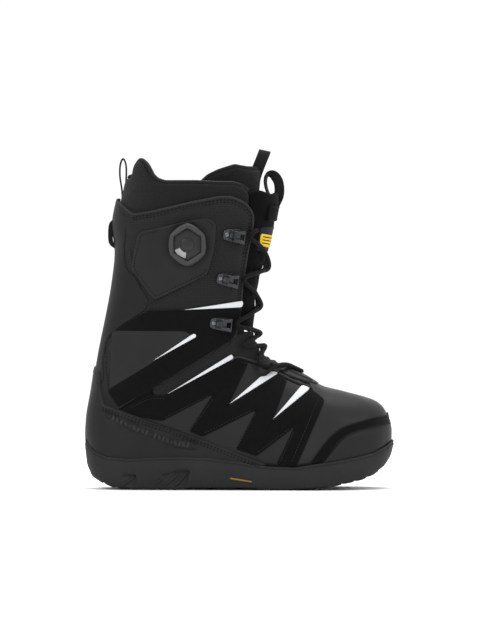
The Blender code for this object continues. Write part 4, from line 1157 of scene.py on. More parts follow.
def row(points, distance, side):
    """A side-view line moved inwards by a distance, as (s, phi) on one side."""
    return inset(on_side(points, 1), distance) * (1, side)


def both_rows(points, distances_in):
    return [row(points, distance, side) for distance in distances_in for side in (LATERAL, MEDIAL)]


def add_lower_shell():
    half = QUARTER_TOP + EYESTAY + ((57, 22),) + UNDER_SOLE_LINE
    quarters = panel("quarters_leather", round_heel(half), -3, 0, edge=1.4, lens=True, step=4)
    place(quarters, "leather", "lower", "quarters")
    rear = on_side(((66, 114), (72.5, 100.5), (79, 89), (54, 22)), 1)
    rear[0, 1] = 0
    rest = np.array([(15.4, 2.45), (17, 2.45), (18.5, 2.4), (19.9, 2.2), (19.9, 1.2), (19.9, 0)])
    half = np.vstack([rear, evenly_on_boot(rest, 3)])
    vamp = panel("vamp_leather", mirrored_about(half, 0.0), -3, -0.1, edge=1.4, step=4)
    place(vamp, "toe_leather", "lower", "vamp")


CHANNEL = ((-131, 75.5), (-101, 62.0), (-64, 47.8), (-41, 45.0))
CHANNEL_HALF = 4.8
RELIEF_BARS, RELIEF_START, RELIEF_PITCH = 21, -127.5, 4.1


def add_counter():
    """Moulded heel counter with a channel in it, which holds a row of plain bars. The bars are coloured lighter
    than the counter, a painted highlight, and the channel darker, painted shade.
    """
    half = COUNTER_TOP + ((28.5, 26, 2),) + UNDER_SOLE_LINE[1:]
    line = COUNTER_TOP[4:] + ((24, 29),)

    def strip(places, near):
        """A shallow channel that carries the relief."""
        points = on_boot(places, 0) / MM
        x, z = points[:, 0], points[:, 2]
        across = np.abs(z - height_on(CHANNEL, x))
        along = np.clip((x + 134) / 4, 0, 1) * np.clip((-38 - x) / 5, 0, 1)
        return -1.4 * along / (1 + np.exp((across - 5.2) * 2.2))

    channel = [(x, float(height_on(CHANNEL, x))) for x in np.linspace(-132, -39, 24)]
    counter = panel("heel_counter_moulding", round_heel(half), -0.4, 3.2, edge=2.2, step=2.6, shape=strip)
    place(counter, "upper_rubber", "lower", "heel_counter")
    pile, base = Pile(), Pile()
    for side in (LATERAL, MEDIAL):
        for k in range(RELIEF_BARS):
            add_relief_bar(pile, k, side)
        low = [(x, z - CHANNEL_HALF) for x, z in channel]
        loop = patch([(x, z + CHANNEL_HALF) for x, z in channel] + low[::-1], side)
        add_panel(base, loop, 1.2, 2.4, edge=0.8, step=3)
    place(pile.object("counter_relief"), "relief_rubber_painted_highlight", "lower")
    place(base.object("counter_channel"), "channel_rubber_painted_shade", "lower")
    stitch("counter_stitches", both_rows(line, (2.4, 5.0)), 3.3, "lower", length=2.5, gap=1.1, radius=0.6)
    rear = ((-144, 118.6), (-139.5, 117), (-138.6, 101), (-135.5, 87))
    stitch("counter_rear_stitches", both_rows(rear, (0.6,)), 3.3, "lower")


def add_relief_bar(pile, k, side):
    """One of a row of plain slanted bars that fills the counter's channel."""
    x = RELIEF_START + RELIEF_PITCH * k
    centre = height_on(CHANNEL, x)
    width, tall = (2.9, 5.6) if k % 5 else (1.6, 3)
    lean = 0.9 if k % 2 else -0.5
    corners = [(x - width / 2 - lean, centre - tall / 2), (x + width / 2 - lean, centre - tall / 2 - 0.6),
               (x + width / 2 + lean, centre + tall / 2 - 0.6), (x - width / 2 + lean, centre + tall / 2)]
    loop = locate(evenly(rounded([(*c, 0.8) for c in corners]), 1.2, True)) * (1, side)
    add_panel(pile, loop, 1.9, 3.5, edge=0.6, step=3)


EYESTAY_BINDING = ((-9, 128), (-5, 131.5), (0.8, 131.8), (13, 127.7), (27, 121.9), (50.5, 109.6), (72, 101))


def add_lower_trim():
    for word, side in SIDES.items():
        suede_piece = panel(f"suede_zigzag_{word}", patch(SUEDE_LOWER, side), -0.4, 1.1, edge=1.1, step=4.5)
        place(suede_piece, "suede", "lower", f"suede_lower_{word}")
        for letter in "cde":
            add_spike(letter, word, SPIKES[letter], "lower")
        binding = on_side(EYESTAY_BINDING, side)
        # The binding's lighter colour is a painted highlight.
        tube_piece(f"eyestay_binding_{word}", [on_boot(binding, 0.6)], 1.35, 10, "piping_painted_highlight", "lower")
    stitches = []
    for side in (LATERAL, MEDIAL):
        for line, distance in (
            (((-108, 84.5), (-89, 93), (-73, 93.5)), 2.2), (((80, 89), (54, 28)), 2.0),
            (((2, 129), (8, 127.2)), 2.4), (((44, 111), (48, 108.6)), 2.4),
            (((-72, 70.5), (-30, 92)), -2.0), (((-28, 91), (-50, 60.5)), -2.0),
            (((-33, 55.5), (13, 77.5)), -2.0), (((14.5, 76.5), (-3.5, 44)), -2.0),
            (((20, 37), (51.5, 60)), -2.0), (((52, 58.5), (39, 30)), -2.0),
        ):
            stitches.append(row(line, distance, side))
    # These stitches take the piping finish, whose lighter colour is a painted highlight.
    stitch("suede_stitches", stitches, 1.2, "lower", length=1.9, gap=1.1, radius=0.36, finish="piping_painted_highlight")


def add_spike(letter, word, corners, body):
    """Pale film in the shape of a long spike, its butt end stitched down."""
    tip, upper, lower_corner, butt = corners
    outline = ((*tip, 0.4), (*upper, butt), (*lower_corner, butt))
    obj = panel(f"spike_film_{letter}_{word}", patch(outline, SIDES[word]), 0.8, 2.3, edge=0.9, step=3, lip=0.5)
    place(obj, "spike", body, f"spike_{letter}_{word}")


def add_toe():
    low_line = tuple((x + 0.4, z - 0.6) for x, z in TOE_STRIP_LOW)
    sole_line = tuple((x, float(height_on(SOLE_TOP, x)) - 3) for x in (151, 149.9, 146, 134, 117, 104, 94, 80))
    bumper = band("toe_bumper_rubber", low_line[::-1], sole_line[::-1], -0.3, 2.0, 120, 14)
    place(bumper, "upper_rubber", "lower", "toe_bumper")
    strip = band("toe_strip_suede", TOE_STRIP_TOP, TOE_STRIP_LOW[::-1], -0.3, 1.5, 120, 8)
    place(strip, "suede", "lower", "toe_strip")
    rows = []
    for side in (LATERAL, MEDIAL):
        rows.append(on_side(tuple((x - 0.8, z - 1.8) for x, z in TOE_STRIP_TOP), side))
        rows.append(on_side(tuple((x + 0.8, z + 1.9) for x, z in TOE_STRIP_LOW[::-1]), side))
    stitch("toe_strip_stitches", rows, 1.55, "lower")


def add_gusset():
    """Ribbed stretch panel that closes the gap between cuff and lower part."""
    for word, side in SIDES.items():
        columns, rows = 90, 34
        along, across = np.linspace(0, 1, columns + 1), np.linspace(0, 1, rows + 1)
        a, b = (np.array(line, float) for line in (GUSSET_TOP, GUSSET_LOW))
        top = a[0] + (a[1] - a[0]) * along[:, None]
        low = b[0] + (b[1] - b[0]) * along[:, None]
        bow = np.sin(np.pi * along)[:, None] * (1.2, -2.4)
        grid = (top + bow)[:, None] * (1 - across[None, :, None]) + (low + bow)[:, None] * across[None, :, None]
        places = locate(grid.reshape(-1, 2)) * (1, side)
        ribs = 0.55 * np.cos(2 * np.pi * 7.5 * np.tile(across, columns + 1))
        pile = Pile()
        add_sheet(pile, on_boot(places, -0.9 + ribs), on_boot(places, -2.6), grid_faces(columns, rows),
                  flat_uv(places))
        obj = pile.object(f"gusset_{word}")
        place(obj, "gusset_fabric", ANKLE_BEND, f"ankle_gusset_{word}")


def add_ankle_lining():
    """Inner sock behind the gap."""
    half = ((-152, 138), (-128, 132), (-60, 138), (-10, 168), (8, 168), (9, 144), (0, 122), (-60, 82), (-118, 62),
            (-156, 74))
    lining = panel("ankle_lining", round_heel(half), -4.6, -3.3, edge=0.8, step=5)
    place(lining, "lining", ANKLE_BEND)


# ---------------------------------------------------------------- cuff

FRONT_ROWS = (8.8,)
TOP_ROWS = (2.3, 5.0)


def add_cuff_shell():
    half = CUFF_TOP + CUFF_FRONT + CUFF_LOW

    def roll(places, near):
        """The edge is stitched flat, with a padded roll inside it."""
        high_up = np.clip((4.7 - places[:, 0]) * 3, 0, 1)
        return high_up * (1.5 * np.exp(-(((near - 12) / 4.5) ** 2)) - 0.5 * np.exp(-(((near - 4) / 2) ** 2)))

    shell = panel("cuff_fabric_shell", round_heel(half), -3, 0, edge=1.5, lens=True, step=3, shape=roll)
    place(shell, "cuff_fabric", "cuff", "cuff_shell")
    edge_line = CUFF_TOP[2:] + CUFF_FRONT[:-1]
    rows = both_rows(edge_line, TOP_ROWS) + both_rows(CUFF_FRONT, FRONT_ROWS)
    stitch("cuff_edge_stitches", rows, -0.2, "cuff", length=2.5, gap=1.3, radius=0.65)
    half_line = on_side(CUFF_TOP + CUFF_FRONT, 1)
    around = np.vstack([half_line[::-1], (half_line * (1, -1) + (0, 2 * math.pi))[1:]])
    # The piping's lighter colour is a painted highlight along the cuff's edge.
    tube_piece("cuff_piping", [on_boot(evenly_on_boot(around, 2.5), -1.4)], 1.5, 10, "piping_painted_highlight", "cuff")


ANKLE_WEDGE = ((-125.4, 158.5), (-54, 158.4), (-43, 152.6), (-129, 100))
CUFF_SEAMS = (
    (((-87, 185), (-60, 199), (-29, 216)), 0), (((-90, 179.5), (-57, 179.8)), 0.2),
    (((-128, 98), (-131.6, 120), (-131, 143), (-127.5, 154)), 0.0),
    (((-109, 240), (-105, 222), (-94, 183)), -2.2),
)


def add_cuff_trim():
    half = BACKSTAY
    back = panel("backstay_leather", round_heel(half), -0.4, 1.4, edge=1.4, step=4)
    # The backstay's leather is painted darker: painted shade.
    place(back, "back_leather_painted_shade", "cuff", "backstay")
    for word, side in SIDES.items():
        place(panel(f"suede_bands_{word}", patch(SUEDE_CUFF, side), -0.4, 1.2, edge=1.1, step=4.5),
              "suede", "cuff", f"suede_cuff_{word}")
        wedge = panel(f"ankle_leather_{word}", patch(ANKLE_WEDGE, side), -0.3, 0.7, edge=0.8, step=4.5)
        place(wedge, "leather", "cuff")
        add_spike("b", word, SPIKES["b"], "cuff")
        add_spike("a", word, SPIKE_A, "cuff")
    rows = [row(line, distance, side) for side in (LATERAL, MEDIAL) for line, distance in CUFF_SEAMS]
    stitch("cuff_seam_stitches", rows, 1.3, "cuff")


POD_SEAT_RADIUS = 24


def add_pod():
    """Moulded leather panels on both sides of the cuff, one under the reel, their edges stitched."""
    def dish(places, near):
        points = on_boot(places, 0) / MM
        reach = np.hypot(points[:, 0] - DIAL[0], points[:, 2] - DIAL[1])
        return 1.6 * np.exp(-(((reach - POD_SEAT_RADIUS) / 4) ** 2))

    for name, side, rise, step, shape, nodes in (
        ("reel_pod", LATERAL, 1.5, 3.2, dish, "dial_pod"), ("medial_pod", MEDIAL, 1.4, 4, None, ()),
    ):
        outline = patch(DIAL_POD, side)
        place(panel(name, outline, -0.3, rise, edge=1.3, step=step, shape=shape), "pod_leather", "cuff", nodes)
        loop = inset(anticlockwise(outline), 3.4, True)
        stitch(name.replace("reel_", "") + "_stitches", [np.vstack([loop, loop[:1]])], rise, "cuff",
               length=1.6, gap=1.4, radius=0.55)


def lathe(pile, profile, centre, segments=72, shape=None):
    """A body turned about the -Y line through centre; shape gives each ring's radius over the angle."""
    angles = 2 * math.pi * np.arange(segments) / segments
    verts, rings = [], []
    for k, (radius, height) in enumerate(profile):
        if radius == 0:
            rings.append([len(verts)] * segments)
            verts.append((0, -height, 0))
            continue
        reach = np.full(segments, float(radius)) if shape is None else shape(k, radius, angles)
        rings.append(list(range(len(verts), len(verts) + segments)))
        verts += [(r * math.cos(a), -height, r * math.sin(a)) for r, a in zip(reach, angles)]
    faces = []
    loops = list(zip(rings, rings[1:]))
    if profile[0][0] and profile[-1][0]:
        loops.append((rings[-1], rings[0]))
    for low, high in loops:
        for k in range(segments):
            quad = [low[k], low[(k + 1) % segments], high[(k + 1) % segments], high[k]]
            faces.append(tuple(dict.fromkeys(quad)))
    add_outward(pile, (np.array(verts) + np.array(centre)) * MM, faces)


def hexagon(apothem, angles, corner=0.16):
    """Radius of a hexagon that stands on its point, its corners rounded."""
    turn = (angles + math.pi / 2) % (math.pi / 3) - math.pi / 6
    sharp = apothem / np.cos(turn)
    return sharp - corner * (sharp - apothem) * 2


REEL_BASE = (
    (0, -7), (16.4, -7), (16.4, 0.4), (17.4, 0.4), (18.0, 1.2), (18.0, 2.6), (16.6, 3.4), (16.6, 7), (15.6, 7),
    (15.6, 2.4), (0, 2.4),
)
REEL_GRIP = (
    (18.2, 1.4), (19.8, 3.0), (19.8, 9.0), (19.2, 10.9), (17.6, 12.3), (14.6, 12.2), (13.7, 11.2), (13.5, 9.4),
    (13.5, 7.6), (17.0, 7.6),
)
REEL_GRIP_INSIDE = (5, 6, 7, 8)
REEL_DISC = ((0, 7.4), (13.9, 7.4), (13.9, 7.9), (12.6, 8.2), (6.6, 8.6), (6.2, 9.6), (5.6, 9.9), (0, 10.0))
REEL_DISC_HEXAGONS = (1, 2, 3)
# Angles, inner and outer radius of the pale plate on the cap, a painted highlight.
REEL_HIGHLIGHT_PLATE = (203, 262, 8.0, 13.6)


def add_reel():
    """Reel on the cuff: its base, the grip ring, the cap and a pale plate on the cap that is a painted highlight.
    """
    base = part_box("reel_housing")[1].y / MM
    centre = (DIAL[0], base, DIAL[1])
    pile = Pile()
    lathe(pile, REEL_BASE, centre)
    place(pile.object("reel_base"), "moulded_plastic", "cuff", "reel_housing")
    pile = Pile()

    def ring_shape(k, radius, angles):
        if k in REEL_GRIP_INSIDE:
            return hexagon(radius, angles, 0.05) * (1 + 0.05 * np.sin(angles) ** 4)
        grip = 0.09 * np.cos(36 * angles) if k in (1, 2) else 0
        return hexagon(0.93 * radius, angles, 0.3) * (1 + 0.1 * np.sin(angles) ** 4) + grip

    lathe(pile, REEL_GRIP, centre, 144, ring_shape)
    place(pile.object("reel_grip", 60), "dial_rubber", "knob", "reel_knob")
    pile = Pile()

    def disc_shape(k, radius, angles):
        return hexagon(radius, angles) if k in REEL_DISC_HEXAGONS else radius + 0 * angles

    lathe(pile, REEL_DISC, centre, 72, disc_shape)
    place(pile.object("reel_cap_disc", 30), "dial_cap", "knob", "reel_cap")
    pile = Pile()
    # A pale flat plate on the cap's lower left, which is a painted highlight.
    start, end, inner_r, outer_r = REEL_HIGHLIGHT_PLATE
    angles = np.radians(np.linspace(start, end, 14))
    outer = np.minimum(hexagon(13.2, angles), outer_r)
    line = [(r * math.cos(a), r * math.sin(a)) for r, a in zip(outer, angles)]
    line += [(inner_r * math.cos(a), inner_r * math.sin(a)) for a in angles[::-1]]
    verts = [(centre[0] + x, centre[1] - height - 0.02 * (x + z), centre[2] + z)
             for height in (8.0, 9.0) for x, z in line]
    add_outward(pile, np.array(verts) * MM, prism_faces(len(line)))
    place(pile.object("reel_painted_highlight"), "dial_painted_highlight", "knob")


def local_frame(x, z, side, depth):
    """Origin in millimetres and unit axes (forward, up, out) where a side view shows (x, z)."""
    places = locate([(x, z)]) * (1, side)
    by_s, by_phi = slopes(places)
    here = on_boot(places, depth)[0] / MM
    out = (on_boot(places, depth + 1) / MM)[0] - here
    forward = -by_phi[0] * side
    forward /= np.linalg.norm(forward)
    up = -by_s[0]
    out = np.cross(up, forward) * side
    out /= np.linalg.norm(out)
    if out[1] * side < 0:
        out = -out
    up = up - forward * np.dot(up, forward)
    up /= np.linalg.norm(up)
    return here, forward, up, out


HOOK_TILT = math.radians(8)


HOOK_PLATE = ((-11, -5, 4), (7, -7.4, 3), (7, 7.4, 3), (-11, 5, 4))
HOOK_PLATE_RINGS = ((1.0, 0), (1.0, 1.1), (0.95, 1.5))
HOOK_PRONG = ((-4.5, 1.7), (-2, 2.4), (0, 4.6), (2.6, 6.1), (6.5, 6.6), (9.3, 6.1), (10.4, 4.7), (10.2, 3.4))
RIVET_X, RIVET_SIDES = -7, 24
RIVET_DOME = ((0, 2.9), (1.2, 2.75), (2.1, 2.3), (2.6, 1.6), (2.7, 1.2), (0, 1.2))


def add_hooks():
    """Riveted speed hooks: a plate, a bridge and two bent prongs with a slot between them."""
    for word, side in SIDES.items():
        for number, (x, z) in enumerate(HOOKS, 1):
            here, level, steep, out = local_frame(x, z, side, 0.9)
            forward = level * math.cos(HOOK_TILT) - steep * math.sin(HOOK_TILT)
            up = steep * math.cos(HOOK_TILT) + level * math.sin(HOOK_TILT)

            def world(points):
                points = np.atleast_2d(points)
                return here + points[:, :1] * forward + points[:, 1:2] * up + points[:, 2:3] * out

            pile = Pile()
            plate = rounded(HOOK_PLATE)
            rings = [np.column_stack([plate * share, np.full(len(plate), rise)])
                     for share, rise in HOOK_PLATE_RINGS]
            add_outward(pile, world(np.vstack(rings)) * MM, prism_faces(len(plate), len(rings)))
            route = smooth_path(list(HOOK_PRONG), 5)
            spread = np.interp(route[:, 0], (-4.5, 10), (3.0, 5.0))
            for part in (-1, 1):
                path = world(np.column_stack([route[:, 0], part * spread, route[:, 1]]))
                add_ribbon(pile, path, up, 3.7, 1.5, 0.6)
            bridge = route[route[:, 0] < 1.2]
            path = world(np.column_stack([bridge[:, 0], np.zeros(len(bridge)), bridge[:, 1]]))
            add_ribbon(pile, path, up, 10, 1.5, 0.5)
            tip = route[route[:, 0] > 8.6]
            path = world(np.column_stack([tip[:, 0], np.zeros(len(tip)), tip[:, 1]]))
            add_ribbon(pile, path, up, 13.4, 1.4, 0.5)
            place(pile.object(f"lace_hook_{word}_{number}", 35), "hook_metal", "cuff", f"hook_{word}_{number}")
            pile = Pile()
            count = RIVET_SIDES
            angles = 2 * math.pi * np.arange(count) / count
            turns = [np.column_stack([RIVET_X + r * np.cos(angles), r * np.sin(angles), np.full(count, h)])
                     for r, h in RIVET_DOME[1:-1]]
            tips = np.array([(RIVET_X, 0, RIVET_DOME[k][1]) for k in (0, -1)])
            verts = np.vstack([*turns, tips])
            rings = len(RIVET_DOME) - 2
            top, last = rings * count, (rings - 1) * count
            faces = [(r * count + k, r * count + (k + 1) % count, (r + 1) * count + (k + 1) % count,
                      (r + 1) * count + k) for r in range(rings - 1) for k in range(count)]
            faces += [(k, (k + 1) % count, top) for k in range(count)]
            faces += [(last + (k + 1) % count, last + k, top + 1) for k in range(count)]
            add_outward(pile, world(verts) * MM, faces)
            place(pile.object(f"hook_rivet_{word}_{number}"), "rivet_metal", "cuff")


# ---------------------------------------------------------------- liner and tongues


def add_liner():
    half = LINER_TOP + LINER_FRONT + LINER_LOW
    liner = panel("liner_cuff_pad", round_heel(half), -12.5, -3.4, edge=5.5, step=4, lip=0.15, lens=True)
    place(liner, "liner_mesh", "cuff", "liner_cuff")
    half_line = on_side(LINER_TOP, 1)
    around = np.vstack([half_line[::-1], (half_line * (1, -1) + (0, 2 * math.pi))[1:]])
    edge = on_boot(evenly_on_boot(around, 2.5), -7.2)
    tube_piece("liner_piping", [edge], 2.3, 12, "dark_piping", "cuff")
    half = LINER_TONGUE_TOP[::-1] + LINER_TONGUE_SIDE + ((40, 162),)
    pad = panel("liner_tongue_pad", over_top(half), -29.5, -21.5, edge=4.5, step=4, lip=0.15, lens=True)
    place(pad, "liner_mesh", "cuff", "liner_tongue")
    line = on_side(tuple(reversed(LINER_TONGUE_TOP)), 1)
    line[0, 1] = 0
    around = np.vstack([line[::-1], (line * (1, -1))[1:]])
    edge = on_boot(evenly_on_boot(around, 2.5), -24.5)
    tube_piece("liner_tongue_piping", [edge], 2.2, 12, "dark_piping", "cuff")
    lowered = tuple((x, z - 2) for x, z in QUARTER_TOP[1:])
    foot_half = QUARTER_TOP[:1] + lowered + ((0.8, 127), (12, 121), (27, 114))
    foot = on_side(foot_half, 1)
    rest = np.array([(14.6, 0.6), (14.9, 0.0)])
    sole = np.array([(19.2, 0), (19.2, 1), (19.2, 2), (19.2, 2.9), (18, 2.93), (16, 2.95), (12, 2.95),
                     (10.6, 2.95), (10.3, math.pi)])
    place_liner_foot(np.vstack([foot, rest, sole]))
    loop = np.array([(10.7, 2.5), (12, 2.3), (14, 2.3), (16, 2.3), (17.6, 2.4), (18.6, 2.7)])
    loop = np.vstack([loop, loop[::-1] * (1, -1) + (0, 2 * math.pi)])
    bed = panel("footbed_cover", loop, -19.5, -16, edge=1.5, step=6)
    place(bed, "footbed_foam", "lower", "footbed")


def place_liner_foot(half):
    pile = Pile()
    for side in (1, -1):
        add_panel(pile, half * (1, side), -13.5, -8.5, edge=1.0, step=6, lip=1.0)
    place(pile.object("liner_foot_sock"), "lining", "lower", "liner_foot")


LABEL_TAB = ((21.5, 261, 2), (38, 262, 2), (33, 236, 2), (17.5, 238, 2))
LABEL_FACE = ((21.5, 255, 1.5), (34, 253, 1.5), (31, 240.5, 1.5), (20.3, 242.5, 1.5))
LABEL_BARS = (((23.4, 251.6), (31.6, 250.3)), ((22.9, 248.6), (30.9, 247.3)), ((22.4, 245.6), (30, 244.3)))


def add_outer_tongue():
    """Padded outer tongue, its quilting, stitches and label."""
    tucked = tuple((x - 2.2, z) for x, z in CUFF_FRONT[:5])
    half = ((45, 296), (36, 294, 3), (24, 298, 3), (17, 297.5, 3), (12, 285)) + tucked + ((-1, 160), (40, 160))

    def quilting(places, near):
        points = on_boot(places, 0) / MM
        channel = np.cos(2 * math.pi * (points[:, 2] - 176) / 27)
        swell = np.clip(near / 10, 0, 1)
        return swell * (1.2 + 0.5 * channel) * np.cos(np.clip(places[:, 1], -1.4, 1.4))

    pad = panel("outer_tongue_pad", over_top(half), -8.5, -1.8, edge=2.5, step=4, lens=True, shape=quilting)
    place(pad, "tongue_fabric", "tongue", "outer_tongue")
    rows = []
    for side in (LATERAL, MEDIAL):
        line = tuple((x + 6.5, z) for x, z in CUFF_FRONT[:5])
        rows.append(on_side(line, side))
    stitch("tongue_stitches", rows, -1.1, "tongue", length=2.2)
    tab = panel("tongue_label_tab", patch(LABEL_TAB, LATERAL), -2.2, 0.1, edge=0.8, step=3)
    place(tab, "label_blue", "tongue")
    label = panel("tongue_label_face", patch(LABEL_FACE, LATERAL), -0.6, 0.7, edge=0.6, step=2.5)
    place(label, "label_yellow", "tongue", "tongue_label")
    bars = [on_boot(on_side(bar, LATERAL), 0.6) for bar in LABEL_BARS]
    tube_piece("tongue_label_bars", bars, 0.55, 6, "thread", "tongue")


TONGUE_BASE = (
    (5.9, 0), (5.9, 0.5), (6.0, 0.8), (7, 0.95), (8.5, 0.95), (10, 0.95), (12, 0.9), (13.6, 0.8), (14.4, 0.6),
    (14.9, 0),
)
LACE_GUIDE = ((11.9, 0), (11.9, 0.5), (12.6, 0.54), (14.0, 0.46), (14.6, 0.28), (14.7, 0))
GUIDE_RAIL = ((12.6, 0.36), (14.3, 0.28))


def both_halves(half):
    """A closed loop of (s, phi) from its medial half and the mirror image of that."""
    half = np.array(half)
    return np.vstack([half, half[-2:0:-1] * (1, -1)])


def add_tongue_base():
    """Pleated base of the tongue, with the smooth guide for the lace over the instep."""

    def folds(places, near):
        return 0.6 * np.cos(places[:, 0] * 2 * math.pi / 0.9) * np.clip(near / 8, 0, 1)

    base = panel("tongue_base_pad", both_halves(TONGUE_BASE), -6.5, -1.2, edge=2, step=3.2, shape=folds)
    place(base, "gusset_fabric", ("lower", "cuff", (0.016, 0, 0.141), (0.012, 0, 0.158)), "tongue_base")
    guide = panel("instep_guide", both_halves(LACE_GUIDE), -1.8, 1.1, edge=1.4, step=3)
    place(guide, "pod_leather", "lower", "lace_guide")
    for word, side in SIDES.items():
        rail = evenly_on_boot(np.array(GUIDE_RAIL) * (1, side), 2)
        tube_piece(f"guide_rail_{word}", [on_boot(rail, 1.1)], 0.8, 8, "pod_leather", "lower")


def lace_route(side):
    """Places (s, phi, depth) of half of the lace: it lies on the tongue between a crossing and a hook."""
    route = [(s, phi * side, depth) for s, phi, depth in LACE_START]
    turns = [LACE_LOW_TURN, *locate([(x + HOOK_REACH, z) for x, z in reversed(HOOKS)])]
    turn = -side
    for (s, sign), (hook_s, hook_phi) in zip(LACE_CROSSINGS, turns):
        last_s, last_phi = route[-1][:2]
        phi = turn * (hook_phi - 0.03)
        route += [((last_s + s) / 2, last_phi / 2, LACE_ON_TONGUE),
                  (s, 0, LACE_OVER if sign * side > 0 else LACE_UNDER),
                  ((s + hook_s) / 2, phi / 2, LACE_ON_TONGUE),
                  (hook_s + 0.12, phi, 6.0), (hook_s - 0.12, phi, 6.0)]
        turn = -turn
    tuck_s, tuck_phi = locate([LACE_TUCK])[0]
    route.append((tuck_s, -turn * tuck_phi, 3.6))
    return route


def add_laces():
    """The lace below the first hooks is one piece on each side; above, its spans are gathered by the side of the
    boot they lie on.
    """
    upper = {LATERAL: Pile(), MEDIAL: Pile()}
    for word, side in SIDES.items():
        fine = smooth_path(lace_route(side), 10)
        points = on_boot(fine[:, :2], fine[:, 2])
        split = 10 * (len(LACE_START) + 3)
        low = evenly(points[: split + 1] / MM, 1.3)
        pile = Pile()
        add_tube(pile, low * MM, LACE_RADIUS, 14, 0.1)
        obj = pile.object(f"lace_instep_{word}", 180)
        place(obj, "lace", ("lower", "cuff", (0.015, 0, 0.146), (-0.003, 0, 0.162)), f"lace_{word}")
        high = evenly(points[split:] / MM, 1.3)
        sign = np.sign(high[:, 1])
        breaks = [0, *(np.nonzero(np.diff(sign))[0] + 1), len(high)]
        for start, stop in zip(breaks, breaks[1:]):
            piece = high[max(start - 1, 0) : min(stop + 1, len(high))]
            if len(piece) > 2:
                add_tube(upper[int(sign[start]) or LATERAL], piece * MM, LACE_RADIUS, 14, 0.1)
    for word, side in SIDES.items():
        obj = upper[side].object(f"lace_upper_{word}", 180)
        place(obj, "lace", ("cuff", "tongue", (0, side * 0.038, 0.2), (0, side * 0.004, 0.2)))


def add_lace_loops():
    for word, side in SIDES.items():
        s, phi, depth = LACE_EYE
        def at(a, b, c):
            return on_boot([(a, side * b)], c)[0] / MM

        centre = at(s, phi, depth)
        along = at(s + 0.8, phi - 0.22, depth - 2) - at(s - 0.8, phi, depth)
        along /= np.linalg.norm(along)
        out = at(s, phi, depth + 1) - centre
        down = np.cross(along, out)
        down /= np.linalg.norm(down)
        out /= np.linalg.norm(out)
        if np.dot(down, at(s, phi + 0.1, depth) - centre) < 0:
            down = -down
        path = [at(s, phi + 0.14, 0.6), at(s, phi + 0.12, 4.4)]
        for k in range(9):
            angle = math.radians(-70 - 220 * k / 8)
            path.append(centre + (down * math.cos(angle) + out * math.sin(angle)) * 3.6)
        path += [at(s, phi + 0.15, 5.6), at(s, phi + 0.17, 0.8)]
        pile = Pile()
        add_ribbon(pile, smooth_path(path, 4), along, 6, 1.2)
        place(pile.object(f"lace_eye_{word}"), "webbing", "lower", f"lace_loop_{word}")


def turning(path, shares, degrees):
    """Directions across a strap in the boot's middle plane, turned out of it by degrees along its length."""
    side = np.cross(frames(path), (0, 1, 0))
    side /= np.linalg.norm(side, axis=1)[:, None]
    angle = np.radians(np.interp(np.linspace(0, 1, len(path)), shares, degrees))[:, None]
    return np.cos(angle) * np.array((0, 1, 0)) + np.sin(angle) * side


TONGUE_PULL = (
    (32.5, 0, 274), (36, 0, 284), (39.6, 0, 292), (40.4, 0, 300), (38.8, 0, 308), (34, 0, 313.8),
    (28.4, 0, 313.6), (26.4, 0, 308), (27.4, 0, 300), (31, 0, 291),
)
TONGUE_PULL_TWIST = ((0, 0.15, 0.5, 0.68, 1), (78, 82, 76, 16, 10))
TONGUE_PULL_BASE = ((38.6, 283), (36.8, 267))
STRAPS = (
    ("liner_tongue_pull", "liner_tongue_loop", (1, 0, -0.22), 12, 1.5,
     ((15.5, -1.5, 309), (17.5, -4, 316), (21, -5.5, 325), (24.6, -4.5, 334), (25.8, 0, 337.4),
      (24.6, 4.5, 334), (21, 5.5, 325), (17.5, 4, 316), (15.5, 1.5, 309))),
    ("liner_heel_pull", "liner_heel_loop", (0, 1, 0), 12, 1.6,
     ((-114.6, 0, 284), (-113, 0, 305), (-112.8, 0, 322), (-115.6, 0, 329.6), (-118.6, 0, 324), (-119, 0, 312),
      (-117, 0, 298), (-116.4, 0, 284))),
    ("heel_keeper_strap", "heel_keeper", (0, 1, 0), 16, 4.4,
     ((-124, 0, 267.5), (-127.6, 0, 264), (-128.6, 0, 255), (-127.8, 0, 246), (-123.4, 0, 242))),
)


def add_straps():
    """Webbing loops of the tongue, the liner and the heel."""
    pull = smooth_path(list(TONGUE_PULL), 8)
    pile = Pile()
    add_ribbon(pile, pull, turning(pull, *TONGUE_PULL_TWIST), 10, 1.7)
    ends = locate(list(TONGUE_PULL_BASE))[:, 0]
    place(pile.object("tongue_pull"), "webbing", "tongue", "tongue_pull_loop")
    corners = [(ends[0], 0.55), (ends[1], 0.55), (ends[1], -0.55), (ends[0], -0.55)]
    base = evenly_on_boot(np.array(corners), 3, True)
    place(panel("tongue_pull_base", base, -2.4, 1.2, edge=1.0, step=3), "tongue_fabric", "tongue")
    rows = [np.array(((s, -0.5), (s, 0.5))) for s in (ends[0] + 0.05, ends[1] - 0.05)]
    stitch("tongue_pull_stitches", [evenly_on_boot(r, 2) for r in rows], 1.25, "tongue")
    for name, node, across, width, thickness, route in STRAPS:
        pile = Pile()
        add_ribbon(pile, smooth_path(list(route), 6), across, width, thickness)
        place(pile.object(name), "webbing", "cuff", node)


# ---------------------------------------------------------------- studio

HIDDEN_FINISHES = {
    "midsole": "footbed_foam", "heel_pad": "footbed_foam", "lasting_board": "footbed_foam",
    "shank": "moulded_plastic", "reel_spool": "moulded_plastic", "reel_cable": "cable_steel",
    "ankle_harness_lateral": "webbing", "ankle_harness_medial": "webbing",
}


LIGHT_AIM = (0, 0, 0.16)
LIGHTS = (
    ("key", (-1.3, -1.6, 1.7), 1.2, 24), ("fill", (1.6, -1.2, 0.9), 1.0, 8), ("top", (0.2, 0.3, 2.0), 1.4, 26),
)
WORLD_STRENGTH = 1.05
FLOOR_REACH = 6
SENSOR = 36


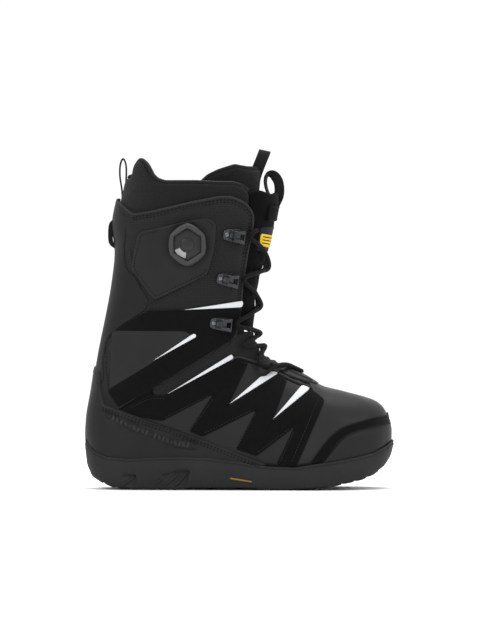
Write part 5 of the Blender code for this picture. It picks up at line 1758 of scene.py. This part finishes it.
def add_light(name, place_at, size, power_watts):
    data = bpy.data.lights.new(name, "AREA")
    data.shape, data.size, data.energy = "DISK", size, power_watts
    obj = bpy.data.objects.new(name, data)
    obj.location = place_at
    obj.rotation_euler = (Vector(LIGHT_AIM) - Vector(place_at)).to_track_quat("-Z", "Y").to_euler()
    bpy.context.scene.collection.objects.link(obj)


def add_studio():
    mesh = bpy.data.meshes.new("floor")
    r = FLOOR_REACH
    mesh.from_pydata([(-r, -r, 0), (r, -r, 0), (r, r, 0), (-r, r, 0)], [], [(0, 1, 2, 3)])
    floor = bpy.data.objects.new("floor", mesh)
    bpy.context.scene.collection.objects.link(floor)
    f = Finish("floor_paper")
    f.set(Base_Color=f.mix((0.965, 0.965, 0.965), (0.985, 0.985, 0.985), f.noise(40, 3)), Roughness=0.9,
          Specular_IOR_Level=0.1)
    f.bump(f.noise(2, 4), 0.02)
    floor.data.materials.append(f.material)
    world = bpy.data.worlds.new("studio")
    bpy.context.scene.world = world
    world.use_nodes = True
    world.node_tree.nodes["Background"].inputs["Color"].default_value = (1, 1, 1, 1)
    world.node_tree.nodes["Background"].inputs["Strength"].default_value = WORLD_STRENGTH
    for light in LIGHTS:
        add_light(*light)
    scene = bpy.context.scene
    scene.view_settings.view_transform = "Standard"
    scene.view_settings.look = "None"
    scene.view_settings.exposure = 0.0


def add_camera():
    data = bpy.data.cameras.new("camera")
    data.sensor_fit, data.sensor_height = "VERTICAL", SENSOR
    data.lens = SENSOR * CAMERA_DISTANCE / VIEW_HEIGHT
    data.clip_end = 50
    camera = bpy.data.objects.new("camera", data)
    bpy.context.scene.collection.objects.link(camera)
    reach = CAMERA_DISTANCE
    camera.location = AIM + Vector((0, -reach * math.cos(CAMERA_RISE), reach * math.sin(CAMERA_RISE)))
    camera.rotation_euler = Euler((math.pi / 2 - CAMERA_RISE, 0, 0))
    bpy.context.scene.camera = camera


def main():
    add_camera()
    add_laces()
    add_lace_loops()
    add_outsole()
    add_badge()
    add_lower_shell()
    add_counter()
    add_lower_trim()
    add_toe()
    add_gusset()
    add_ankle_lining()
    add_cuff_shell()
    add_cuff_trim()
    add_pod()
    add_reel()
    add_hooks()
    add_liner()
    add_outer_tongue()
    add_tongue_base()
    add_straps()
    for node, finish in HIDDEN_FINISHES.items():
        paint(frame["nodes"][node], finish)
    add_studio()


main()
